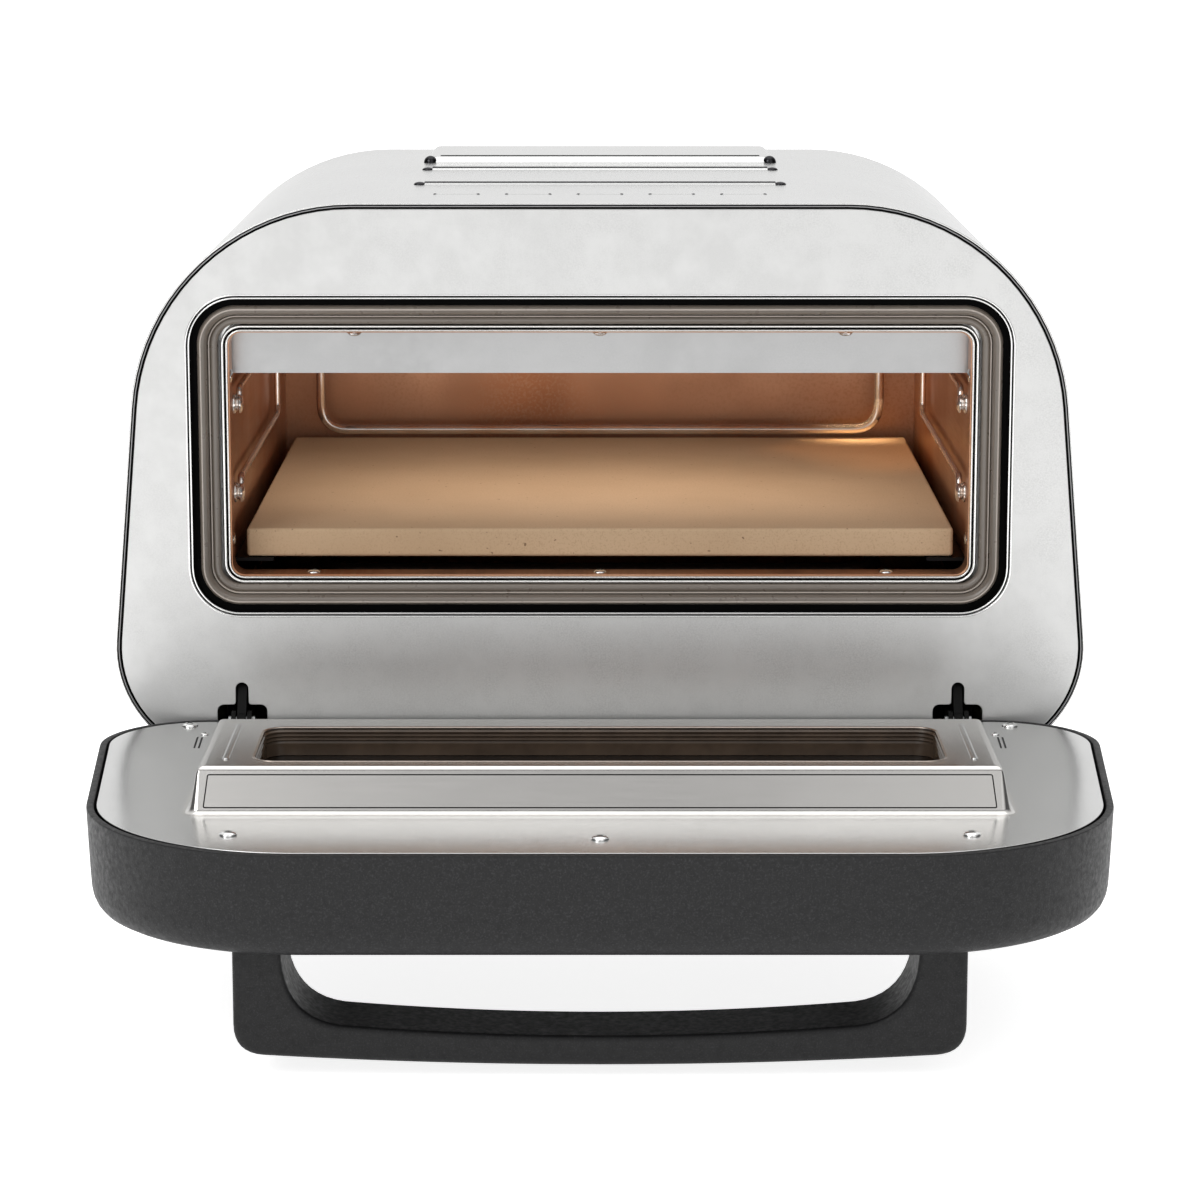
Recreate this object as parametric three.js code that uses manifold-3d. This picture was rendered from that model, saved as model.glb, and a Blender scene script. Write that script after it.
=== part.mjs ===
// Countertop pizza oven: a domed steel body on four legs, with a drop-down door, a baking
// stone, two heating elements and a cooling fan.
//
// Millimetres, +Z up. The oven faces -Y and its door lies open along -Y. The origin is on
// the table, under the middle of the whole oven with the door open.

import * as THREE from 'three';
import { mergeVertices } from 'three/addons/utils/BufferGeometryUtils.js';
import Module from 'manifold-3d';

const wasm = await Module();
wasm.setup();

// ---------------------------------------------------------------- driving dimensions

const gap = 0.3; // between pieces that rest on each other
const sheet = 1.3; // steel of the casing
const liner = 1.2; // steel of the baking chamber and the door pan

const legHeight = 78;
const frontY = -60; // front edge of the casing
const legs = { x: 130, frontY: 34, rearY: 290, topRadius: 16, footRadius: 12, pad: 3.7 };

// The casing and the door share one kind of outline: a flat foot, round lower corners, sides
// that lean in, and wide round shoulders.
const casing = {
  lean: THREE.MathUtils.degToRad(4.87),
  lower: { x: 168, z: 52, radius: 52 },
  upper: { x: 110.8, z: 154.2, radius: 100.3 },
  depth: 322,
  top: 254.5,
};
const door = {
  lean: THREE.MathUtils.degToRad(4.4),
  lower: { x: 175.9, z: 64, radius: 46 },
  upper: { x: 119.5, z: 165.5, radius: 94.5 },
  foot: 18,
  depth: 43,
  border: 42, // width of the frame around the outer panel
  plateInset: 4.5,
};
const closedGap = 1.6; // between the closed door and the front edge of the casing
const hinge = { x: 163, y: -2.1, z: 19.1, pinRadius: 2.5, holeRadius: 2.9, knuckle: 5 };

// Rounded rectangles across the oven: half width, bottom, top and corner radius.
const mouth = { halfX: 185, z0: 67.9, z1: 212.7, radius: 22 };
const lip = { halfX: 169.9, z0: 82, z1: 198.3, radius: 8.5 };
const pan = { halfX: 171.5, z0: 82.5, z1: 195.5, radius: 10 };
const doorWindow = { halfX: 144, z0: 112, z1: 174.5, radius: 9 };

const chamber = { halfX: 168, frontY: 23.8, rearY: 325.7, floor: 61.7, ceiling: 218.3 };
const stone = { halfX: 162.2, frontY: 27.5, rearY: 310, z: 90, thickness: 13 };
const panHeight = 18;

const bead = { length: 174.4, height: 1.8, foot: 3, rows: [99, 185.5] };
const nib = { length: 21.5, height: 0.8, foot: 1.5, y: 46, pitch: 32.7 };
const plateau = { halfX: 89, frontY: 229, rearY: 310, height: 3.6 };
const guard = { x: 164.6, frontY: 29, rearY: 232, low: 127, high: 168, drop: 7.3, radius: 1.5 };
const fan = { x: 95, z: 120, size: 80, frontY: 340, rearY: 353.5, rotorRadius: 34, blades: 7 };
const gland = { x: -120, z: 42, bodyRadius: 8 };
const elementRadius = 3.2;
const elementTerminals = 25; // half the distance between the two ends of an element
const upperElement = { halfX: 140, frontY: 62, rearY: 282, z: 197 };
const lowerElement = { halfX: 130, frontY: 70, rearY: 290, z: 76 };
const probe = { x: -120, z: 190, radius: 2 };
const handle = { halfX: 147.5, z0: 205.7, z1: 241.7, reach: 48.6, bow: 4.4, arm: 19.5 };
const doorFace = -(closedGap + door.depth); // outer face of the closed door
const boltX = 139;

// ---------------------------------------------------------------- materials

const finish = (color, roughness, metalness) =>
  new THREE.MeshStandardMaterial({ color, roughness, metalness, flatShading: true });

const brushedSteel = finish(0xd0d1cf, 0.35, 0.95);
const warmSteel = finish(0xb08f72, 0.4, 0.9);
const brightRod = finish(0xc4b7aa, 0.2, 1.0);
const elementSheath = finish(0x5c4a42, 0.6, 0.6);
const charcoal = finish(0x3b3b3c, 0.7, 0.1);
const blackPanel = finish(0x18181a, 0.3, 0.2);
const gasketRubber = finish(0x736c62, 0.55, 0.0);
const footRubber = finish(0x1d1d1e, 0.85, 0.0);
const bakingStone = finish(0xbea385, 0.9, 0.0);
const darkGlass = finish(0x2c2926, 0.05, 0.0);
const mineralWool = finish(0xdad6cb, 0.95, 0.0);
const circuitBoard = finish(0x2c5a3a, 0.5, 0.1);
const zincSteel = finish(0x9fa3a4, 0.45, 0.9);

// ---------------------------------------------------------------- solids

// Position only, with the corners that triangles share merged into one.
function shared(geometry) {
  const bare = geometry.clone();
  bare.deleteAttribute('normal');
  bare.deleteAttribute('uv');
  return mergeVertices(bare, 1e-4);
}

function toManifold(geometry) {
  const merged = shared(geometry);
  const vertProperties = new Float32Array(merged.attributes.position.array);
  const triVerts = new Uint32Array(merged.index.array);
  return new wasm.Manifold(new wasm.Mesh({ numProp: 3, vertProperties, triVerts }));
}

function toGeometry(manifold) {
  const mesh = manifold.getMesh();
  const geometry = new THREE.BufferGeometry();
  geometry.setAttribute('position', new THREE.BufferAttribute(mesh.vertProperties, 3));
  geometry.setIndex(Array.from(mesh.triVerts));
  return geometry;
}

const join = (first, ...others) =>
  toGeometry(others.reduce((sum, other) => sum.add(toManifold(other)), toManifold(first)));

const cut = (first, ...tools) =>
  toGeometry(tools.reduce((rest, tool) => rest.subtract(toManifold(tool)), toManifold(first)));

function block([x0, x1], [y0, y1], [z0, z1]) {
  const box = new THREE.BoxGeometry(x1 - x0, y1 - y0, z1 - z0);
  return box.translate((x0 + x1) / 2, (y0 + y1) / 2, (z0 + z1) / 2);
}

// A round bar along x, y or z; `at` gives its place on the other two axes, in that order.
function bar(axis, radius, [start, end], at, sides = 20, endRadius = radius) {
  const round = new THREE.CylinderGeometry(endRadius, radius, end - start, sides);
  round.translate(0, (start + end) / 2, 0);
  if (axis === 'x') return round.rotateZ(-Math.PI / 2).translate(0, at[0], at[1]);
  if (axis === 'y') return round.translate(at[0], 0, at[1]);
  return round.rotateX(Math.PI / 2).translate(at[0], at[1], 0);
}

const extrude = (shape, depth, curveSegments) =>
  new THREE.ExtrudeGeometry(shape, { depth, curveSegments, bevelEnabled: false });

// Extrusions of a shape drawn in (x, z), (y, z) and (x, y).
const extrudeY = (shape, [y0, y1], segments = 6) =>
  extrude(shape, y1 - y0, segments).rotateX(Math.PI / 2).translate(0, y1, 0);

function extrudeX(shape, [x0, x1], segments = 6) {
  const turn = new THREE.Matrix4().makeBasis(
    new THREE.Vector3(0, 1, 0),
    new THREE.Vector3(0, 0, 1),
    new THREE.Vector3(1, 0, 0),
  );
  return extrude(shape, x1 - x0, segments).applyMatrix4(turn).translate(x0, 0, 0);
}

const extrudeZ = (shape, [z0, z1], segments = 6) =>
  extrude(shape, z1 - z0, segments).translate(0, 0, z0);

const polygon = (...corners) => new THREE.Shape(corners.map(([a, b]) => new THREE.Vector2(a, b)));

// ---------------------------------------------------------------- outlines in (x, z)

function arc({ x, z, radius }, from, to, segments) {
  return Array.from({ length: segments + 1 }, (_, i) => {
    const angle = from + ((to - from) * i) / segments;
    return new THREE.Vector2(x + radius * Math.cos(angle), z + radius * Math.sin(angle));
  });
}

// Right half from the foot to the top, then its mirror image back down.
function domedOutline({ lower, upper, lean }, inset) {
  const shrink = (corner) => ({ ...corner, radius: corner.radius - inset });
  const right = [
    ...arc(shrink(lower), -Math.PI / 2, lean, 7),
    ...arc(shrink(upper), lean, Math.PI / 2, 8),
  ];
  const left = right.map((point) => new THREE.Vector2(-point.x, point.y)).reverse();
  return [...right, ...left];
}

function roundedOutline({ halfX, z0, z1, radius }, inset = 0, insetZ = inset) {
  const r = Math.max(radius - inset, 0.5);
  const x = halfX - inset - r;
  const corners = [
    [x, z0 + insetZ + r],
    [x, z1 - insetZ - r],
    [-x, z1 - insetZ - r],
    [-x, z0 + insetZ + r],
  ];
  return corners.flatMap(([cx, cz], i) =>
    arc({ x: cx, z: cz, radius: r }, ((i - 1) * Math.PI) / 2, (i * Math.PI) / 2, 5));
}

const loop = (outline, y) => outline.map((point) => new THREE.Vector3(point.x, y, point.y));

// A skin over loops of equal length. Its two ends are capped, unless it is joined into a ring.
function skin(loops, { ring = false } = {}) {
  const count = loops[0].length;
  const position = loops.flat().flatMap((point) => point.toArray());
  const index = [];
  const bands = ring ? loops.length : loops.length - 1;
  for (let band = 0; band < bands; band += 1) {
    const here = band * count;
    const next = ((band + 1) % loops.length) * count;
    for (let i = 0; i < count; i += 1) {
      const j = (i + 1) % count;
      index.push(here + i, here + j, next + j, here + i, next + j, next + i);
    }
  }
  if (!ring) {
    const flat = loops[0].map((point) => new THREE.Vector2(point.x, point.z));
    const last = (loops.length - 1) * count;
    for (const triangle of THREE.ShapeUtils.triangulateShape(flat, [])) {
      const turnsLeft = THREE.ShapeUtils.area(triangle.map((i) => flat[i])) > 0;
      const [a, b, c] = turnsLeft ? triangle : triangle.reverse();
      index.push(c, b, a, last + a, last + b, last + c);
    }
  }
  return facingOut(position, index);
}

function facingOut(position, index) {
  const corner = (i) => new THREE.Vector3().fromArray(position, 3 * index[i]);
  let volume = 0;
  for (let i = 0; i < index.length; i += 3) {
    volume += corner(i).dot(corner(i + 1).cross(corner(i + 2)));
  }
  const geometry = new THREE.BufferGeometry();
  geometry.setAttribute('position', new THREE.Float32BufferAttribute(position, 3));
  geometry.setIndex(volume < 0 ? index.reverse() : index);
  return geometry;
}

// A ring whose section is a list of [inset, y], swept around an outline.
const hoop = (outlineAt, section) =>
  skin(section.map(([inset, y]) => loop(outlineAt(inset), y)), { ring: true });

// ---------------------------------------------------------------- bent rods

// A line through the corners, each rounded by a bend.
class BentLine extends THREE.Curve {
  constructor(corners, bend) {
    super();
    const points = corners.map((corner) => new THREE.Vector3(...corner));
    this.points = [points[0]];
    for (let i = 1; i < points.length - 1; i += 1) {
      const toward = (other) =>
        other.clone().sub(points[i]).setLength(bend).add(points[i]);
      const curve = new THREE.QuadraticBezierCurve3(
        toward(points[i - 1]),
        points[i],
        toward(points[i + 1]),
      );
      this.points.push(...curve.getPoints(3));
    }
    this.points.push(points.at(-1));
  }

  get steps() {
    return this.points.length - 1;
  }

  getPointAt(u) {
    return this.points[Math.round(u * this.steps)].clone();
  }

  getTangentAt(u) {
    const i = Math.round(u * this.steps);
    const before = this.points[Math.max(i - 1, 0)];
    const after = this.points[Math.min(i + 1, this.steps)];
    return after.clone().sub(before).normalize();
  }
}

function bentRod(corners, radius, bend) {
  const extrudePath = new BentLine(corners, bend);
  const section = new THREE.Shape().absarc(0, 0, radius, 0, 2 * Math.PI);
  return new THREE.ExtrudeGeometry(section, {
    extrudePath,
    steps: extrudePath.steps,
    curveSegments: 4,
    bevelEnabled: false,
  });
}

// ---------------------------------------------------------------- casing

const casingOutline = (inset) => domedOutline(casing, inset);

// A wrap-around sheet. Its top has five small nibs, two long beads and a raised panel.
function outerShell() {
  const tube = hoop(casingOutline, [[0, 0], [0, casing.depth], [sheet, casing.depth], [sheet, 0]]);
  const skirt = casing.top - sheet / 2;
  const ridge = ({ length, height, foot }, x, y) => extrudeX(
    polygon([-foot, skirt], [-foot / 2, casing.top + height], [foot / 2, casing.top + height],
      [foot, skirt]), [-length / 2, length / 2]).translate(x, y, 0);
  const raisedPanel = (inset, rise) => extrudeX(
    polygon([plateau.frontY + inset, skirt - inset], [plateau.frontY + 3 + inset, rise],
      [plateau.rearY - 3 - inset, rise], [plateau.rearY - inset, skirt - inset]),
    [inset - plateau.halfX, plateau.halfX - inset]);
  const raised = [raisedPanel(0, casing.top + plateau.height)];
  for (const y of bead.rows) {
    raised.push(ridge(bead, 0, y));
  }
  for (let i = -2; i <= 2; i += 1) {
    raised.push(ridge(nib, i * nib.pitch, nib.y));
  }
  const opening = block([-150, 150], [10, casing.depth - 10], [-1, sheet + 1]);
  const hollow = raisedPanel(liner, casing.top + plateau.height - liner);
  return cut(join(tube, ...raised), opening, hollow);
}

// The slot for a door hinge: wide at the knuckle, narrow above it for the arm's tail.
const hingeSlot = (side) => join(
  block([-11.3, 11.3], [0, 3], [8, 26.2]),
  block([-2.9, 2.9], [0, 3], [20, 36.5]),
).translate(side * hinge.x, 0, 0);

function frontPanel() {
  const face = new THREE.Shape(casingOutline(sheet + 0.5));
  face.holes.push(new THREE.Path(roundedOutline(mouth, -gap)));
  return cut(extrudeY(face, [0.6, 1.8]), hingeSlot(-1), hingeSlot(1));
}

function basePan() {
  const tray = cut(
    block([-158, 158], [8, 314], [sheet + gap, 16]),
    block([-156.5, 156.5], [9.5, 312.5], [sheet + gap + 1.5, 17]),
  );
  const vents = [];
  for (let row = 0; row < 6; row += 1) {
    vents.push(block([-60, 60], [100 + 22 * row, 106 + 22 * row], [0, 5]));
  }
  // Room for the hinge brackets behind the front edge.
  for (const side of [-1, 1]) {
    const x = side * hinge.x;
    vents.push(block([x - 12, x + 12], [7, 46], [0, 17]));
  }
  return cut(tray, ...vents);
}

function rearHousing() {
  const taper = (wall) => skin([
    [1.2, 322.3 - wall / 2], [3, 330], [9, 350 - wall / 2], [14, 357 - wall],
  ].map(([inset, y]) => loop(casingOutline(inset + wall), y)));
  const openings = [bar('y', gland.bodyRadius + gap, [340, 360], [gland.x, gland.z])];
  for (let i = -4; i <= 4; i += 1) {
    openings.push(block([fan.x + 8 * i - 2, fan.x + 8 * i + 2], [345, 360],
      [fan.z - 32, fan.z + 32]));
    openings.push(block([8 * i - 97, 8 * i - 93], [345, 360], [150, 190]));
  }
  return cut(taper(0), taper(2.2), ...openings);
}

const leg = () => join(
  bar('z', legs.footRadius, [legs.pad + gap, legHeight - 10], [0, 0], 24, legs.topRadius - 2),
  bar('z', legs.topRadius, [legHeight - 14, legHeight + sheet], [0, 0], 24),
).translate(0, 0, -legHeight);

const footPad = () =>
  bar('z', legs.footRadius + 1, [0, legs.pad], [0, 0], 24).translate(0, 0, -legHeight);

// ---------------------------------------------------------------- mouth and chamber

// From the groove at the panel, over the soft bulge and down two steps to the lip.
const doorGasket = () => hoop((inset) => roundedOutline(mouth, inset), [
  [0, 3], [0, 19], [13.8, 19], [13.8, 9], [12.2, 6.5], [10, 6], [9.4, 3.4], [7.6, 2.8],
  [6.4, 1], [4.2, 0.6], [3.2, 1.6], [2.6, 3],
]);

const cavityCollar = () => hoop((inset) => roundedOutline(lip, inset), [
  [0, 10.5], [0, 20.6], [-6, 20.6], [-6, 23.5], [2.4, 23.5], [2.4, 11.7], [1.2, 10.5],
]);

const wall = (side) => block([chamber.halfX, chamber.halfX + liner],
  [chamber.frontY, chamber.rearY],
  [chamber.floor + gap, chamber.ceiling - gap]).scale(side, 1, 1);

const flatLiner = (z) => block([-chamber.halfX - liner, chamber.halfX + liner],
  [chamber.frontY, chamber.rearY], [z, z + liner]);

const terminalHoles = (radius) => [upperElement.z, lowerElement.z].flatMap((z) =>
  [-1, 1].map((side) => bar('y', radius, [320, 345], [side * elementTerminals, z])));

function backWall() {
  const plate = block([-chamber.halfX - liner, chamber.halfX + liner],
    [chamber.rearY + gap, chamber.rearY + gap + liner],
    [chamber.floor - liner, chamber.ceiling + liner]);
  const probeHole = bar('y', probe.radius + gap, [320, 345], [probe.x, probe.z]);
  return cut(plate, probeHole, ...terminalHoles(elementRadius + 0.8));
}

const frontBaffle = () => extrudeX(polygon([27, 175], [32, 175], [32, 176.2], [28.2, 176.2],
  [28.2, 217.6], [27, 217.6]), [-167.6, 167.6]);

// One loop around the chamber, with both ends through the back wall.
function heatingElement({ halfX, frontY, rearY, z }) {
  const half = [[elementTerminals, 340], [elementTerminals, rearY], [halfX, rearY],
    [halfX, frontY]];
  const path = [...half.map(([x, y]) => [-x, y]), ...half.toReversed()];
  return bentRod(path.map(([x, y]) => [x, y, z]), elementRadius, 18);
}

function stoneSupport(side) {
  const top = stone.z - gap;
  const section = polygon([150, top - 1.5], [166.2, top - 1.5], [166.2, 70], [167.7, 70],
    [167.7, top], [150, top]);
  return extrudeY(section, [26, 312]).scale(side, 1, 1);
}

function pizzaStone() {
  const bevel = 0.8;
  const half = stone.halfX - bevel;
  const slab = polygon([-half, stone.frontY + bevel], [half, stone.frontY + bevel],
    [half, stone.rearY - bevel], [-half, stone.rearY - bevel]);
  return new THREE.ExtrudeGeometry(slab, {
    depth: stone.thickness - 2 * bevel,
    bevelThickness: bevel,
    bevelSize: bevel,
    bevelSegments: 1,
  }).translate(0, 0, stone.z + bevel);
}

const rearStopRod = () => bentRod(
  [[-147.5, 305, 216], [-147.5, 305, 108], [147.5, 305, 108], [147.5, 305, 216]], 2.6, 14);

// One bent rod along each wall. Both its front ends drop into a stud.
function sideGuard(side) {
  const { x, frontY, rearY, low, high, drop, radius } = guard;
  const path = [[frontY, low - drop], [frontY, low], [rearY, low], [rearY, high],
    [frontY, high], [frontY, high - drop]];
  const rod = bentRod(path.map(([y, z]) => [x, y, z]), radius, 6);
  const studs = [low, high].map((z) => bar('x', 4.2, [162.2, 167.7], [frontY, z - drop], 16));
  return join(rod, ...studs).scale(side, 1, 1);
}

const temperatureProbe = () => join(
  bar('y', probe.radius, [292, 344], [probe.x, probe.z], 12),
  bar('y', 5, [336.4, 341], [probe.x, probe.z], 6),
);

// ---------------------------------------------------------------- hidden inside the casing

function insulationWrap() {
  const clear = liner + 2 * gap;
  const inner = {
    halfX: chamber.halfX + clear,
    z0: chamber.floor - clear,
    z1: chamber.ceiling + clear,
    radius: 0.5,
  };
  const thickness = 9;
  const outer = {
    halfX: inner.halfX + thickness,
    z0: inner.z0 - thickness,
    z1: inner.z1 + thickness,
    radius: 20,
  };
  const section = new THREE.Shape(roundedOutline(outer));
  section.holes.push(new THREE.Path(roundedOutline(inner)));
  return extrudeY(section, [30, 320]);
}

const insulationBack = () => cut(
  block([-150, 150], [328, 336], [66, 212]),
  bar('y', probe.radius + gap, [320, 345], [probe.x, probe.z]),
  ...terminalHoles(elementRadius + 1.5),
);

// Two cheeks around the door's arm, a web behind them and a foot on the base.
function hingeBracket(side) {
  const cheek = (x) => join(
    bar('x', hinge.knuckle, [x, x + 2], [hinge.y, hinge.z], 16),
    block([x, x + 2], [hinge.y, 24], [hinge.z - 4, hinge.z + 4]),
  );
  const bracket = join(
    cheek(hinge.x - 4.6),
    cheek(hinge.x + 2.6),
    block([hinge.x - 9, hinge.x + 9], [23, 25], [4, 34]),
    block([hinge.x - 9, hinge.x + 9], [24, 42], [4, 6]),
  );
  const pinHole = bar('x', hinge.holeRadius, [hinge.x - 20, hinge.x + 20], [hinge.y, hinge.z], 16);
  return cut(bracket, pinHole).scale(side, 1, 1);
}

const hingePin = (side) => bar('x', hinge.pinRadius, [hinge.x - 6, hinge.x + 6],
  [hinge.y, hinge.z], 16).scale(side, 1, 1);

function powerBoard() {
  const board = block([-140, -50], [180, 260], [12, 13.6]);
  const relays = [0, 1].map((i) => block([-130 + 30 * i, -110 + 30 * i], [190, 206], [13, 28]));
  const standoffs = [[-136, 184], [-54, 184], [-136, 256], [-54, 256]].map((place) =>
    bar('z', 3, [sheet + 2 * gap + 1.5, 12.5], place, 8));
  return join(board, ...relays, bar('z', 9, [13, 36], [-70, 232], 16), ...standoffs);
}

const thermalCutout = () => join(
  bar('z', 10, [44, 50.2], [60, 150], 16),
  block([54, 55], [146, 154], [36, 45]),
  block([65, 66], [146, 154], [36, 45]),
);

function fanFrame() {
  const half = fan.size / 2;
  const hubSpan = [fan.rearY - 3, fan.rearY];
  const spokes = [0, 1, 2].map((i) =>
    block([0, half - 2], hubSpan, [-2, 2]).rotateY((i * 2 * Math.PI) / 3)
      .translate(fan.x, 0, fan.z));
  const square = block([fan.x - half, fan.x + half], [fan.frontY, fan.rearY],
    [fan.z - half, fan.z + half]);
  const duct = cut(square,
    bar('y', fan.rotorRadius + 2, [fan.frontY - 1, fan.rearY + 1], [fan.x, fan.z], 32));
  const hub = bar('y', 13, hubSpan, [fan.x, fan.z]);
  return cut(join(duct, hub, ...spokes), bar('y', 3.2, [340, 360], [fan.x, fan.z]));
}

// Made about the Y axis, which is the fan's shaft.
function fanRotor() {
  const hub = bar('y', 14, [fan.frontY + 1.5, fan.rearY - 3.5], [0, 0]);
  const shaft = bar('y', 2.5, [fan.frontY + 2, fan.rearY - 0.6], [0, 0], 12);
  const middle = (fan.frontY + fan.rearY) / 2 - 1;
  const blades = Array.from({ length: fan.blades }, (_, i) =>
    new THREE.BoxGeometry(fan.rotorRadius - 13, 8, 1.4).rotateX(0.6)
      .translate((fan.rotorRadius + 13) / 2, middle, 0)
      .rotateY((i * 2 * Math.PI) / fan.blades));
  return join(hub, shaft, ...blades);
}

const cordGland = () => cut(
  join(
    bar('y', gland.bodyRadius, [349, 363], [gland.x, gland.z], 24),
    bar('y', 12, [357 + gap, 359.5], [gland.x, gland.z], 6),
  ),
  bar('y', 4, [348, 364], [gland.x, gland.z], 16),
);

// ---------------------------------------------------------------- door, drawn closed

const doorOutline = (inset) => domedOutline(door, inset);

// Leaves the knuckles free: cuts the foot of the frame and of the inner plate.
const hingeNotches = () => [-1, 1].map((side) =>
  block([side * hinge.x - 7, side * hinge.x + 7],
    [hinge.y - hinge.knuckle - 1.5, 1], [door.foot - 1, hinge.z + hinge.knuckle + 2]));

function doorFrame() {
  const section = [
    [3.5, 0], [0.5, 0], [0, 0.6], [1.5, 28], [2.8, 34], [6.5, 39.8], [13, door.depth],
    [door.border, door.depth], [door.border, 40.5], [14, 40.5], [6.2, 36], [3.5, 28],
  ].map(([inset, depth]) => [inset, -closedGap - depth]);
  const boltHoles = [-1, 1].map((side) =>
    bar('y', 2.9, [doorFace - 1, doorFace + 4], [side * boltX, (handle.z0 + handle.z1) / 2], 16));
  return cut(hoop(doorOutline, section), ...hingeNotches(), ...boltHoles);
}

const plateScrews = [[-185.4, 31], [185.4, 31], [-149.4, 227], [149.4, 227], [0, 233.5]];

// A flat sheet that rises into a pan, which fills the mouth of the closed oven.
function doorInnerPlate() {
  const panSkin = (wall) => skin([
    [0, 0, -liner - 1], [0, 0, -0.4], [1.4, 1.2, 0.6], [2.9, 2.9, 2.2], [5, 10.3, 15],
    [6, 11.5, 17], [7.6, 13.4, panHeight],
  ].map(([insetX, insetZ, rise]) =>
    loop(roundedOutline(pan, insetX + wall, insetZ + wall), rise - closedGap - wall)));
  const flat = new THREE.Shape(doorOutline(door.plateInset));
  flat.holes.push(new THREE.Path(roundedOutline(pan, liner / 2)));
  const plate = extrudeY(flat, [-closedGap - liner, -closedGap]);
  const hollowPan = cut(panSkin(0), panSkin(liner));
  const belowPlate = block([-180, 180], [-closedGap - liner - 5, -closedGap - liner], [70, 210]);
  const view = extrudeY(new THREE.Shape(roundedOutline(doorWindow)), [5, 20]);
  const screwHoles = plateScrews.map((place) => bar('y', 2.3, [-6, 1], place, 12));
  return cut(join(plate, hollowPan), belowPlate, view, ...hingeNotches(), ...screwHoles);
}

const plateScrew = ([x, z]) => join(
  bar('y', 2, [-10, -1], [x, z], 8),
  bar('y', 4, [-closedGap + 0.2, -0.8], [x, z], 12, 3.4),
);

const innerGlass = () => block([-150, 150], [0.2, 4], [106, 180]);

const windowTunnel = () => hoop(
  (inset) => roundedOutline({ halfX: 146.5, z0: 108, z1: 178.5, radius: 10 }, inset),
  [[0, -39.2], [0, -0.1], [liner, -0.1], [liner, -39.2]]);

const outerGlass = () => block([-147, 147], [-42.6, -39.5], [104, 182]);

const controlWindow = { halfX: 105, z0: 66, z1: 98, radius: 3 };

function outerPanel() {
  const face = new THREE.Shape(doorOutline(door.border + gap));
  face.holes.push(new THREE.Path(roundedOutline({ halfX: 138, z0: 110, z1: 176, radius: 8 })));
  face.holes.push(new THREE.Path(roundedOutline(controlWindow)));
  return extrudeY(face, [doorFace + 0.2, doorFace + 1.7]);
}

const controlGlass = () => extrudeY(
  new THREE.Shape(roundedOutline(controlWindow, gap)), [doorFace + 0.2, doorFace + 1.7]);

const controlBoard = () => join(
  block([-80, 80], [doorFace + 4.2, doorFace + 5.8], [68, 96]),
  block([-20, 20], [doorFace + 2.2, doorFace + 4.4], [74, 90]),
);

// A bowed bar on two arms, drawn from above and raised through its height.
function doorHandle() {
  const root = doorFace - gap;
  const end = doorFace - handle.reach + handle.bow;
  const middle = doorFace - handle.reach;
  const { halfX, arm } = handle;
  const corner = 12;
  const fillet = 28;
  const inner = halfX - arm;
  const barEnds = 12.5;
  const barMiddle = 12.3;
  const outline = new THREE.Shape();
  outline.moveTo(-halfX, root);
  outline.lineTo(-halfX, end + corner);
  outline.quadraticCurveTo(-halfX, end, -halfX + corner, end - 0.8);
  outline.quadraticCurveTo(0, 2 * middle - end, halfX - corner, end - 0.8);
  outline.quadraticCurveTo(halfX, end, halfX, end + corner);
  outline.lineTo(halfX, root);
  outline.lineTo(inner, root);
  outline.quadraticCurveTo(inner, end + barEnds, inner - fillet, end + barEnds - 1);
  outline.quadraticCurveTo(0, 2 * (middle + barMiddle) - end - barEnds, -inner + fillet,
    end + barEnds - 1);
  outline.quadraticCurveTo(-inner, end + barEnds, -inner, root);
  const solid = extrudeZ(outline, [handle.z0, handle.z1], 8);
  const holes = [-1, 1].map((side) => bar('y', 2.9, [doorFace - 20, doorFace + 1],
    [side * boltX, (handle.z0 + handle.z1) / 2], 16));
  return cut(solid, ...holes);
}

const handleBolt = (side) => join(
  bar('y', 2.5, [doorFace - 19, doorFace + 4], [side * boltX, (handle.z0 + handle.z1) / 2], 12),
  bar('y', 5, [doorFace + 2.8, doorFace + 5.5], [side * boltX, (handle.z0 + handle.z1) / 2], 6),
);

// A plate with an eye on the pin, a leg up inside the door and a tail into the casing.
function hingeArm(side) {
  const span = [hinge.x - 2, hinge.x + 2];
  const tail = block(span, [0, 19], [-3, 3]).rotateX(-Math.PI / 6)
    .translate(0, hinge.y, hinge.z);
  const arm = join(
    bar('x', 4.2, span, [hinge.y, hinge.z], 16),
    block(span, [hinge.y - 5.6, hinge.y - 1.6], [hinge.z - 2.4, 62]),
    tail,
  );
  const eye = bar('x', hinge.holeRadius, [hinge.x - 5, hinge.x + 5], [hinge.y, hinge.z], 16);
  return cut(arm, eye).scale(side, 1, 1);
}

// ---------------------------------------------------------------- assembly

const oven = new THREE.Group();

const bodyGroup = new THREE.Group();
bodyGroup.position.set(0, frontY, legHeight);
oven.add(bodyGroup);

// The door turns about its pins. It is drawn closed and stands open by a quarter turn.
const doorPivot = new THREE.Group();
doorPivot.position.set(0, hinge.y, hinge.z);
doorPivot.rotation.x = Math.PI / 2;
bodyGroup.add(doorPivot);

const doorGroup = new THREE.Group();
doorGroup.position.set(0, -hinge.y, -hinge.z);
doorPivot.add(doorGroup);

// A mirrored solid is inside out, so each one is turned to face out as it is added.
function add(group, name, geometry, material) {
  const { attributes, index } = shared(geometry);
  const solid = facingOut(Array.from(attributes.position.array), Array.from(index.array));
  const mesh = new THREE.Mesh(solid, material);
  mesh.name = name;
  group.add(mesh);
  return mesh;
}

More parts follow.
